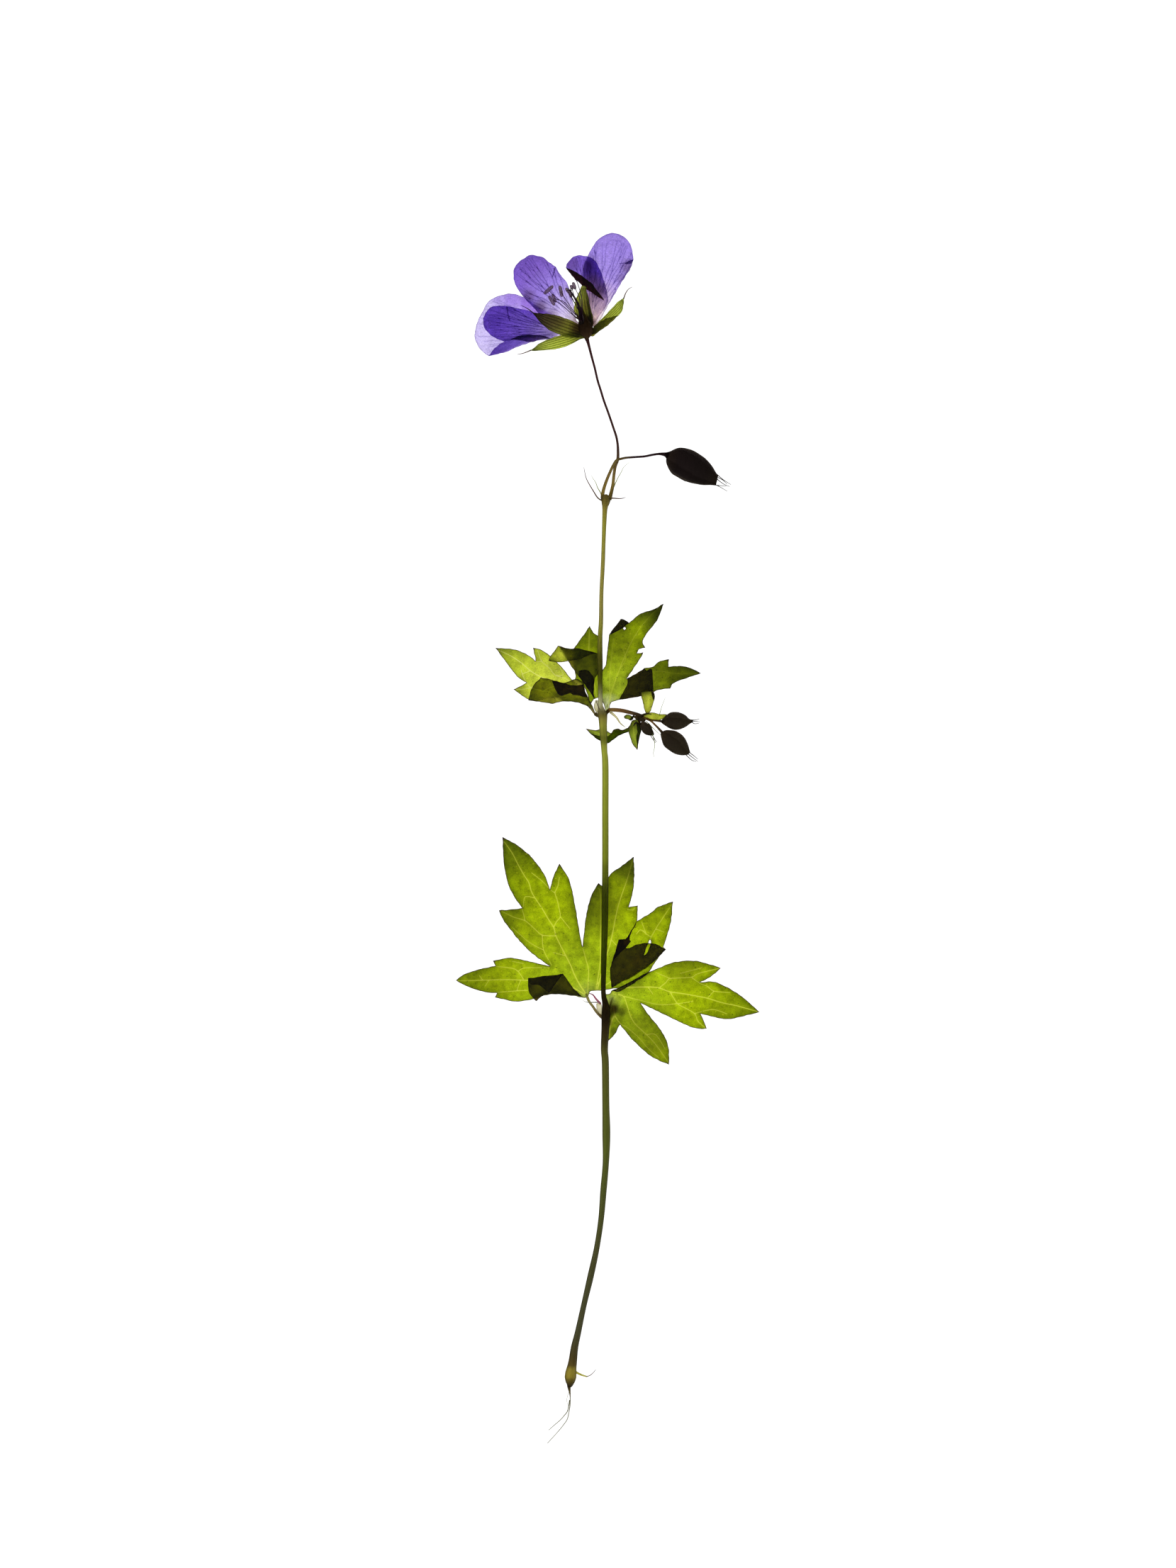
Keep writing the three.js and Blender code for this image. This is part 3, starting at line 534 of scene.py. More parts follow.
def stalkMaterial(name, ramp, **changes):
    look = dict(stalkLook, **changes)
    material, tree = newMaterial(name)
    place = objectPlace(tree)
    flank, along, rib, fold = attributes(tree, "flank", "along", "rib", "fold")
    stretched = addNode(tree, "ShaderNodeVectorMath", {0: place, 1: (1.0, 0.12, 1.0)}, operation="MULTIPLY")
    patches = mottled(tree, stretched.outputs[0], look)
    colour = mixColours(tree, 1.0, colourRamp(tree, along, ramp), patches[0], "MULTIPLY")
    colour = layer(tree, colour, rib, look, "rib", "MULTIPLY")
    # The edge colour at the flanks, as seen from above, is painted shade, darker at the sides of a round stalk; on
    # the bud skins the colour there is lighter.
    colour = layer(tree, colour, spread(tree, flank, look["edgeFrom"], 1.0, curve="SMOOTHSTEP"), look, "edge")
    # The fold mark darkens the stalk: painted shade where the stem passes over leaf blades, and the dark ring at the
    # torn end.
    colour = mixColours(tree, fold, colour, tint(look["foldColour"]), "MULTIPLY")
    throughShader(tree, colour, look, mathNode(tree, "ADD", times(tree, rib, 0.8), patches[0]))
    return material


leafLook = {
    "ramp": {0: "#b4bc66", 0.04: "#a6b438", 0.1: "#9fb21a", 0.5: "#a5b40a", 0.75: "#8f9e08", 1: "#66740a"},
    "patchScale": 620.0, "patches": 1.8, "grain": 1.6, "toneStrength": 0.5, "toneColour": "#bcdcc0",
    "netScale": 800.0, "netWidth": 0.05, "netStrength": 0.16, "netColour": "#b9c018", "veinColour": "#d6dc4e",
    "veinWidth": 0.025, "veinSoftness": 0.045, "veinStrength": 0.9, "veinFrom": -1.0, "veinFull": 0.0,
    "veinGlow": 0.6, "glowStrength": 0.07, "glowColour": "#bccc08", "speckScale": 620.0, "speckSize": 0.055,
    "speckShare": 0.35, "speckStrength": 0.7, "speckColour": "#c8d020", "dotScale": 700.0, "dotSize": 0.05,
    "dotShare": 0.5, "dotStrength": 0.75, "dotColour": "#2c340a", "shadeWidth": 1.6, "shadeStrength": 0.45,
    "shadeColour": "#8c9c70", "rimWidth": 0.1, "rimStrength": 0.9, "rimColour": "#4d3a34", "foldColour": "#626238",
    "frontColour": "#989290", "frontFloor": 0.0, "through": 0.94, "relief": 0.5, "roughness": 0.55, "ior": 1.4,
}
paleLeafLook = dict(leafLook, ramp={0: "#c8cf70", 0.15: "#cdd24a", 0.5: "#d6dc46", 0.72: "#c6cf38", 0.9: "#a9b32c",
    1: "#8a9526"}, veinColour="#e2e480", speckColour="#d8da60", dotColour="#6a7420", netColour="#d6d870",
    shadeStrength=0.22)
leafBlade = sheetMaterial("leafBlade", leafLook)
paleLeafBlade = sheetMaterial("paleLeafBlade", paleLeafLook)
faintVeinBlade = sheetMaterial("faintVeinBlade", leafLook, ramp={0: "#eeeccc", 0.05: "#ccd08c", 0.12: "#a6b62c",
    0.5: "#a5b40a", 0.75: "#8f9e08", 1: "#66740a"}, veinStrength=0.5, veinWidth=0.0)
# The folded lobes darken towards a brown: painted shade where they lie over the blade, with a greyer front colour.
foldedLook = dict(leafLook, ramp={0: "#b8b44c", 0.5: "#b2b01c", 1: "#807e16"}, foldColour="#633c38",
    frontColour="#b0a8a0", frontFloor=0.7)
foldedBlade = sheetMaterial("foldedBlade", foldedLook)
foldedPaleBlade = sheetMaterial("foldedPaleBlade", foldedLook, ramp={0: "#cccf60", 0.5: "#babc34", 1: "#a6a82c"},
    veinColour="#d8da60")
# The lower right blade darkens to a dark brown at its base: painted shade where the stem node and leaf stalks lie
# over it.
nodeShadeBlade = sheetMaterial("nodeShadeBlade", leafLook, foldColour="#463820")
paleMembrane = sheetMaterial("paleMembrane", leafLook, ramp={0: "#d0c894", 0.6: "#ece6c4", 1: "#cfc894"}, patches=0.5,
    grain=0.4, toneStrength=0.0, netStrength=0.05, glowStrength=0.0, shadeStrength=0.1, speckScale=300.0,
    rimStrength=0.4, rimColour="#8c8058")
youngBlade = sheetMaterial("youngBlade", leafLook, ramp={0: "#8c9828", 0.6: "#8c9830", 1: "#7c8830"},
    veinStrength=0.3, netStrength=0.1, rimWidth=0.11)
limeBlade = sheetMaterial("limeBlade", leafLook, ramp={0: "#a8a032", 0.3: "#c2c244", 0.7: "#c0c23e", 1: "#a6a834"},
    veinStrength=0.2, netStrength=0.1, rimWidth=0.08)

petalLook = {
    "ramp": {0: "#efe6d0", 0.22: "#ece2ee", 0.42: "#cfc0f0", 0.65: "#a088da", 0.9: "#8a6acc", 1: "#8060c6"},
    "patchScale": 420.0, "patches": 0.5, "grain": 1.1, "toneStrength": 0.4, "toneColour": "#c4b4e2",
    "netScale": 620.0, "netWidth": 0.06, "netStrength": 0.2, "netColour": "#5d4597", "veinColour": "#341c66",
    "veinWidth": 0.0, "veinSoftness": 0.055, "veinStrength": 0.88, "veinFrom": 0.22, "veinFull": 0.6,
    "veinGlow": 0.35, "glowStrength": 0.15, "glowColour": "#5a429c", "shadeWidth": 0.8, "shadeStrength": 0.3,
    "shadeColour": "#c0b4da", "rimWidth": 0.06, "rimStrength": 0.4, "rimColour": "#6b4fa8", "foldColour": "#612f1c",
    "frontColour": "#a89aa2", "frontFloor": 0.0, "through": 0.94, "relief": 0.35, "roughness": 0.6, "ior": 1.4,
}
violetPetal = sheetMaterial("violetPetal", petalLook)
palePetal = sheetMaterial("palePetal", petalLook, ramp={0: "#efe6d8", 0.3: "#e4dcee", 0.6: "#d0c2ec", 0.85: "#ccbfeb",
    1: "#d0c4ee"}, veinColour="#6c58a4", veinStrength=0.75, netColour="#8c7abc", rimColour="#7e68b8", rimStrength=0.7,
    toneColour="#d4d4ea", shadeStrength=0.12, foldColour="#a359e3", frontColour="#a090c8")
frontPetal = sheetMaterial("frontPetal", petalLook, ramp={0: "#f0e2cc", 0.25: "#ecdcd8", 0.47: "#e4d2dc",
    0.65: "#bca6dc", 0.85: "#8d72d2", 1: "#8466cc"})
lightPetal = sheetMaterial("lightPetal", petalLook, ramp={0: "#efe6cc", 0.25: "#ecdfda", 0.4: "#e2d2de",
    0.52: "#cab4e0", 0.65: "#ae98e2", 1: "#a48ce0"}, veinColour="#4c3888", netColour="#7a64ae")
sepalBlade = sheetMaterial("sepalBlade", leafLook, ramp={0: "#98a544", 0.3: "#c2cf4a", 0.8: "#cad85c", 1: "#9ca54c"},
    patchScale=400.0, patches=0.4, netStrength=0.12, netColour="#7c8430", veinColour="#2c2c12", veinWidth=0.02,
    veinSoftness=0.07, veinStrength=0.85, veinGlow=0.22, glowStrength=0.3, toneStrength=0.3, speckScale=900.0,
    speckColour="#c9d070", dotScale=900.0, dotColour="#5c6420", shadeWidth=0.5, shadeStrength=0.15, rimWidth=0.06,
    rimStrength=0.5, rimColour="#5a5c34", foldColour="#6a4040")

stalkLook = {
    "patchScale": 500.0, "patches": 0.5, "grain": 0.35,
    "ribColour": "#b0a090", "ribStrength": 0.4, "edgeFrom": 0.6, "edgeStrength": 0.75, "edgeColour": "#2e2020",
    "foldColour": "#4c4438", "through": 0.85, "relief": 0.6, "roughness": 0.5, "ior": 1.4,
}
stemSkin = stalkMaterial("stemSkin", {0: "#4a3c22", 0.007: "#5c4c24", 0.011: "#cdb942", 0.0185: "#d0be4a",
    0.0225: "#5e4c24", 0.034: "#584c26", 0.06: "#56563a", 0.155: "#5a5a34", 0.267: "#68722a", 0.37: "#6a6c2a",
    0.392: "#5c5028", 0.41: "#5a4428", 0.445: "#54442a", 0.465: "#6a7426", 0.498: "#8f9e22", 0.602: "#98a42c",
    0.69: "#b2bc3e", 0.715: "#c2ca48", 0.742: "#c0c24c", 0.75: "#b4aa4c", 0.756: "#8e7c38", 0.764: "#f2efc4",
    0.778: "#eceab0", 0.79: "#a4a33e", 0.85: "#aaa83e", 0.865: "#aca250", 0.925: "#b0a64c", 0.965: "#b2ae42",
    0.985: "#a89a3e", 1: "#8a763e"}, edgeFrom=0.45, edgeStrength=0.8, edgeColour="#3a3628", ribColour="#8f8f70",
    ribStrength=0.5)
flowerStalkSkin = stalkMaterial("flowerStalkSkin", {0: "#9c8640", 0.12: "#8e7a3e", 0.22: "#6a5632", 0.3: "#4a322a",
    0.5: "#432624", 1: "#402224"})
budStalkSkin = stalkMaterial("budStalkSkin", {0: "#9c8640", 0.3: "#8e783e", 0.42: "#8a7a3e", 0.52: "#6a5a32",
    0.62: "#322022", 1: "#26181a"})
shootSkin = stalkMaterial("shootSkin", {0: "#b4924c", 0.4: "#8c663a", 0.8: "#50402c", 1: "#443a2a"})
knotSkin = stalkMaterial("knotSkin", {0: "#4c4222", 0.5: "#40361f", 1: "#3a3020"}, through=0.6)
leafStalkSkin = stalkMaterial("leafStalkSkin", {0: "#6e5c3a", 0.5: "#8c7f4c", 1: "#a9a45c"}, edgeStrength=0.5,
    edgeColour="#4c4028")
paleStalkSkin = stalkMaterial("paleStalkSkin", {0: "#a09a58", 0.35: "#bcc48c", 1: "#c8cf94"}, ribStrength=0.1,
    edgeStrength=0.25, edgeColour="#8c9254")
knobSkin = stalkMaterial("knobSkin", {0: "#6b5c30", 1: "#6e6234"}, edgeStrength=0.5, edgeColour="#3c3018")
creamScale = stalkMaterial("creamScale", {0: "#e4dcae", 1: "#cfc690"}, edgeStrength=0.3, edgeColour="#a49c60",
    ribStrength=0.1)
limeScale = stalkMaterial("limeScale", {0: "#c2bc4c", 1: "#bab456"}, edgeStrength=0.4, edgeColour="#7c7428",
    ribStrength=0.1)
stubSkin = stalkMaterial("stubSkin", {0: "#3c3220", 0.5: "#6a5c30", 1: "#7c7048"})
reddishScale = stalkMaterial("reddishScale", {0: "#d08ca0", 0.5: "#b85c7a", 1: "#9a4a68"}, edgeStrength=0.35,
    edgeColour="#7a3050")
brownThread = stalkMaterial("brownThread", {0: "#6c5c48", 0.5: "#6a5048", 1: "#5a404c"}, edgeStrength=0.3)
rindThread = stalkMaterial("rindThread", {0: "#6c6848", 0.25: "#8c8b70", 1: "#a8a898"}, edgeStrength=0.2)
greenHair = stalkMaterial("greenHair", {0: "#8c9c48", 1: "#a8b088"}, edgeStrength=0.2)
budSkin = stalkMaterial("budSkin", {0: "#3e3222", 0.3: "#2b251c", 0.8: "#2a251a", 1: "#2c2518"}, patchScale=420.0,
    patches=0.9, grain=0.6, ribColour="#70604c", ribStrength=0.6, edgeFrom=0.82, edgeStrength=0.65,
    edgeColour="#4a3c2c", through=0.35, relief=0.9, roughness=0.55, ior=1.2)
topBudSkin = stalkMaterial("topBudSkin", {0: "#2e241c", 0.3: "#1a1415", 0.8: "#191413", 1: "#201a12"},
    patchScale=420.0, patches=0.9, grain=0.6, ribColour="#70604c", ribStrength=0.6, edgeFrom=0.85, edgeStrength=0.6,
    edgeColour="#3c3224", through=0.3, relief=0.9, roughness=0.6, ior=1.12)
antherSkin = stalkMaterial("antherSkin", {0: "#a48e94", 0.5: "#c4b0b4", 1: "#a48e94"}, patchScale=900.0, patches=0.6,
    grain=0.6, edgeFrom=0.6, edgeStrength=0.85, edgeColour="#33262e", ribColour="#8a7888", through=0.8, roughness=0.7)
filamentSkin = stalkMaterial("filamentSkin", {0: "#4a3038", 0.5: "#5a3c60", 1: "#5c3c64"}, edgeStrength=0.3)
columnSkin = stalkMaterial("columnSkin", {0: "#1c140f", 0.3: "#261a15", 0.7: "#3a2832", 1: "#3c2c38"}, through=0.45)
receptacleSkin = stalkMaterial("receptacleSkin", {0: "#5a4630", 0.3: "#4c3828", 0.65: "#4e3c26", 1: "#4c4426"},
    through=0.5, edgeFrom=0.55, edgeColour="#33281a", edgeStrength=0.4, roughness=0.7, ior=1.12)
print("materials made")


# Stem

leafForm = {
    "tipLift": 2.4, "flatTo": 8, "tip": 32,       # how high the tips rise, and from where to where
    "wave": 0.28, "waveSize": 6.5,
    "layerStep": 0.15,                            # height between two sheets of one folded leaf
    "creaseLevel": 0.35, "creaseReach": 0.9,      # where a crease lies, and how wide its bend is
}


def leafSurface(x):
    # The blades lie flat along the stem and lift softly towards their tips.
    return leafForm["tipLift"] * smoothStep(np.abs(x), leafForm["flatTo"], leafForm["tip"]) ** 1.5


def levelAt(z):
    return lambda x, y: np.full(len(x), z)


def overSurface(y):
    # How high the stem's lower side rides: on the surface, and over the leaf bases between
    overLower = smoothStep(y, -52, -41) * (1 - smoothStep(y, -8, -1) * 0.45)
    overUpper = smoothStep(y, 8, 17) * (1 - smoothStep(y, 42, 54))
    return 0.12 + 0.75 * np.maximum(overLower * (y < 12), overUpper)


stemForm = {
    "route": [(-7.95, -115.8, 0.42), (-7.9, -115.3, 0.64), (-7.9, -114.7, 0.9), (-7.9, -113.8, 1.1),
        (-7.8, -112.8, 1.05), (-7.65, -111.9, 0.92), (-7.4, -110.5, 0.8), (-7, -107.5, 0.69), (-6.3, -104.5, 0.6),
        (-5, -98.5, 0.53), (-3.6, -92.5, 0.6), (-2.3, -86.5, 0.53), (-1.4, -80.5, 0.53), (-0.9, -74.5, 0.6),
        (-0.4, -68.5, 0.6), (-0.3, -62.5, 0.75), (-0.4, -56.5, 0.67), (-0.5, -47.5, 0.67), (-0.7, -44.5, 0.67),
        (-0.5, -40, 0.75), (-0.4, -37, 0.82), (-0.5, -34.8, 0.6), (-0.9, -32.5, 0.45), (-0.8, -25.1, 0.53),
        (-0.6, -17.6, 0.6), (-0.5, -5.5, 0.6), (-0.5, 5, 0.6), (-0.5, 15.4, 0.6), (-0.7, 18.4, 0.56),
        (-0.8, 20.2, 0.62), (-0.9, 22, 0.7), (-1, 24, 0.74), (-1.05, 25.5, 0.84), (-1.15, 26.3, 0.96),
        (-1.35, 27.1, 0.68), (-1.5, 28, 0.46), (-1.55, 30.4, 0.43), (-1.6, 33.4, 0.45), (-1.6, 36.4, 0.49),
        (-1.6, 42.4, 0.45), (-1.4, 46.2, 0.41), (-1.3, 52.2, 0.38), (-1, 58.2, 0.38), (-0.8, 64.2, 0.38),
        (-0.6, 69.5, 0.47), (-0.5, 70.6, 0.66), (-0.4, 71.4, 0.84), (-0.4, 72.0, 0.84), (-0.4, 72.45, 0.6)],
    "ribs": 5, "ribDepth": 0.07, "girth": 1.12,
    # Painted shade on the stem where it passes over leaf blades: (depth, start, full, fading, end) along y
    "shadeOverBlades": [(0.36, -45, -43, -6, -4.4), (0.2, -41, -39, -33.5, -31.5), (0.4, 33.6, 35, 38.5, 40.2),
        (0.35, 19.9, 20.3, 21.5, 22)],
    "forkBracts": [([[(-1.2, 71.5), (-2.1, 72.1), (-3, 73.5), (-3.9, 75), (-4.5, 76.2), (-4.8, 77.4), (-5, 78.5)],
         [(0.6, 72), (1.3, 72), (2.5, 71.9), (3.3, 72), (3.8, 72.2)]], 0.75, 0.17, brownThread, 0.25),
        ([[(0.75, 72.4), (1.1, 73.6), (1.45, 74.8)]], 0.75, 0.22, limeScale, 0.3),
        ([[(-1.1, 72), (-1.5, 73.2), (-2.1, 74.2), (-2.5, 75.3), (-3.1, 76.2), (-3.4, 76.8)], [(0.8, 72.5), (1.2, 74),
         (1.6, 75), (2.2, 76.3), (2.9, 77.5), (3.4, 78.5), (4.6, 79.6)]], 0.75, 0.13, greenHair, 0.25)],
    "membranes": [
        ((-2.2, 26.7), [[(-2.55, 29.3), (-2.0, 29.1)], [(-1.9, 27.5), (-2.0, 26.6)], [(-2.5, 26.8), (-2.9, 27.9)]]),
        ((-1.3, -37.4), [[(-2.4, -34.9), (-1.7, -34.6), (-1.25, -35.2)], [(-1.1, -37.4), (-1.6, -37.4)],
         [(-2.3, -36.4)]])],
    "stipules": [([[(0.6, 26.8), (1.9, 25.6), (2.7, 24.4), (3.7, 23.6)]], 1.7, 0.32, creamScale, 0.2),
        ([[(-2.4, 29.1), (-2.0, 28.0), (-1.2, 26.4)]], 2.1, 0.09, brownThread, 0.8),
        ([[(-2.6, 26.45), (-2.2, 26.1), (-1.7, 26.0)], [(-0.9, 26.0), (-0.4, 26.4),
         (0.2, 27.1)]], 1.7, 0.42, knobSkin, 0.9),
        ([[(-1.5, -34.9), (-2.5, -33.8), (-3.1, -33), (-3.9, -32.7)]], 1.5, 0.26, reddishScale, 0.3),
        ([[(-2.1, -34.6), (-4, -34.6), (-4.6, -34.5), (-5.2, -34.2)]], 1.5, 0.12, rindThread, 0.3)],
    "tornEnd": [([[(-6.9, -112.7), (-5.5, -113.4), (-4.3, -113.75)]], 0.9, 0.27, limeScale, 0.5),
        ([[(-4.4, -113.73), (-3.7, -113.5), (-3, -112.9), (-2.5, -112.3)]], 0.9, 0.1, brownThread, 0.5),
        ([[(-8.2, -115.3), (-8.15, -116), (-8.05, -116.6), (-7.95, -117.2),
         (-7.9, -118)]], 0.8, 0.42, stubSkin, 0.25),
        ([[(-8.05, -116.9), (-8.45, -117.9), (-8.62, -118.9), (-8.35, -119.9)]], 0.4, 0.05, rindThread, 0.7),
        ([[(-7.9, -115.5), (-7.9, -117.3), (-7.9, -119.5), (-8.1, -121), (-8.5, -122.8), (-9.3, -124), (-10, -124.9),
         (-11.5, -126.6), (-12.7, -127.9)], [(-8, -118.8), (-8.2, -120), (-8.5, -121.2), (-9.2, -122.1), (-10, -123),
         (-11.4, -124.2), (-12.4, -125.1)]], 0.4, 0.12, rindThread, 0.6)],
}


def manyThreads(rows):
    # Each row: its lines, their height, width, skin and taper
    return [thread for lines, z, width, skin, taper in rows for thread in threads(lines, z, width, skin, taper=taper)]


def makeStem():
    girth = stemForm["girth"]
    route = [(x, y, float(overSurface(y)) + r * girth, r * girth) for x, y, r in stemForm["route"]]
    low, high = route[0][1], route[-1][1]
    body = makeTube(route, stemSkin, sides=30, step=0.7, ribs=stemForm["ribs"], ribDepth=stemForm["ribDepth"])
    y = body["points"][:, 1]
    body["marks"]["along"] = np.clip((y - low) / (high - low), 0, 1)
    dark = 0.6 * (1 - smoothStep(np.abs(y + 115.9), 0.4, 1.5))      # the ring at the torn end
    # Painted shade where the stem passes over leaf blades
    for depth, start, full, fading, end in stemForm["shadeOverBlades"]:
        dark = dark + depth * smoothStep(y, start, full) * (1 - smoothStep(y, fading, end))
    body["marks"]["fold"] = dark
    parts = [body] + manyThreads(stemForm["forkBracts"])
    parts += [makeSheet(outline, paleMembrane, levelAt(1.2), cell=0.2, thickness=0.05, base=base,
                        reach=3.0, wobble=0.05) for base, outline in stemForm["membranes"]]
    makePiece("stemSkinned", parts + manyThreads(stemForm["stipules"] + stemForm["tornEnd"]), "stem", "stem")


makeStem()


# The two stalks above the fork

stalks = {
    "flowerGirth": 1.18, "budGirths": (1.05, 1.22),
    "flower": [(0.4, 71.7, 0.38), (0.6, 72.5, 0.35), (1.1, 74.7, 0.29), (1.35, 77, 0.27), (1.65, 78.8, 0.27),
        (2.15, 80.2, 0.27), (2.2, 82.2, 0.24), (2.1, 83.7, 0.21), (1.8, 85.2, 0.21), (1.3, 86.7, 0.2),
        (0.8, 88.2, 0.2), (0, 90.5, 0.2), (-0.8, 92.7, 0.2), (-1.5, 95, 0.2), (-2.1, 96.9, 0.2), (-2.7, 99.5, 0.2),
        (-3.3, 101.7, 0.21), (-3.9, 104, 0.24), (-4.2, 105.1, 0.3), (-4.5, 106, 0.45)],
    "bud": [(-0.9, 71.5, 0.36), (-1.1, 72.1, 0.37), (-0.9, 73.6, 0.34), (-0.3, 75.5, 0.31), (0.4, 77.2, 0.29),
        (1.2, 78.9, 0.28), (1.9, 80, 0.26), (2.7, 80.25, 0.24), (3.8, 80.5, 0.21), (5, 80.6, 0.19), (6.5, 80.7, 0.19),
        (7.9, 80.8, 0.19), (9.4, 81.1, 0.2), (10.9, 81.3, 0.22), (12.2, 81.2, 0.38), (12.8, 81, 0.67)],
}


def flowerStalkLift(y):
    return 0.41 + 0.45 * (1 - smoothStep(y, 72, 78)) + 1.0 * smoothStep(y, 99, 106)


def budStalkLift(x):
    return 0.85 + 0.65 * smoothStep(x, -0.9, 1.2) + 0.4 * smoothStep(x, 5, 11)


def makeStalks():
    route = [(x, y, float(flowerStalkLift(y)), r * stalks["flowerGirth"]) for x, y, r in stalks["flower"]]
    makePiece("flowerStalkSkinned", [makeTube(route, flowerStalkSkin, ribs=3)], "stalk", "flower_stalk")
    low, high = stalks["budGirths"]
    route = [(x, y, float(budStalkLift(x)), r * (low + (high - low) * float(smoothStep(x, 2, 5))))
             for x, y, r in stalks["bud"]]
    makePiece("budStalkSkinned", [makeTube(route, budStalkSkin, ribs=3)], "stalk", "bud_stalk")


makeStalks()
print("stem and stalks made")


# Leaves

mainVein, sideVein, fineVein = (0.07, 0.03), (0.04, 0.02), (0.025, 0.015)      # half widths at base and tip
youngVein = (0.06, 0.03)


def shadeSpots(spots, ground=0.0):
    # How dark a blade is from place to place: (x, y, reach, depth) for each soft patch. The darkness is partly the
    # blade's own tone and partly painted shade where layers overlap, round the receptacle and at the stem's node.
    def shade(x, y):
        dark = np.full(len(x), ground)
        for sx, sy, reach, depth in spots:
            spot = 1 - smoothStep(np.hypot(x - sx, y - sy), reach * 0.2, reach)
            dark = np.maximum(dark, ground + (depth - ground) * spot)
        return np.clip(dark, 0, 1)
    return shade


def foldedLeaf(leaf, seed, lift=0.1):
    # The blade and the lobes that are folded over it. A folded lobe bends down into its crease.
    def surface(x, y, level=0.0):
        wave = leafForm["wave"] * (ripple(x, y, leafForm["waveSize"], seed) + 0.5)
        return leafSurface(x) + lift + wave + level * leafForm["layerStep"]

    parts = []
    for blade in leaf["blades"]:
        creases = [edgeLine(blade["outline"], k, 0.4) for k in blade.get("crease", [])]
        level = blade.get("level", 0)
        atCrease = blade.get("lean", 0) + leafForm["creaseLevel"]

        def height(x, y):
            if not creases:
                return surface(x, y, level)
            gap = nearest(np.column_stack([x, y]), creases)
            bend = smoothStep(gap, 0, leafForm["creaseReach"])
            return surface(x, y, atCrease + (level - atCrease) * bend)

        # A folded lobe's ground darkens it evenly: painted shade where it lies over the blade.
        skin = leaf.get("folded", foldedBlade) if level else leaf["material"]
        parts.append(makeSheet(blade["outline"], blade.get("material", skin), height, holes=blade.get("holes", ()),
                               veins=blade.get("veins", ()), base=leaf["base"], reach=leaf["reach"],
                               cell=leaf.get("cell", 0.45),
                               marks=shadeSpots(blade.get("shade", ()), blade.get("ground", 0.0))))
    if "stalk" in leaf:
        parts.append(makeTube(leaf["stalk"], leaf["stalkMaterial"], sides=12, step=0.4))
    return parts


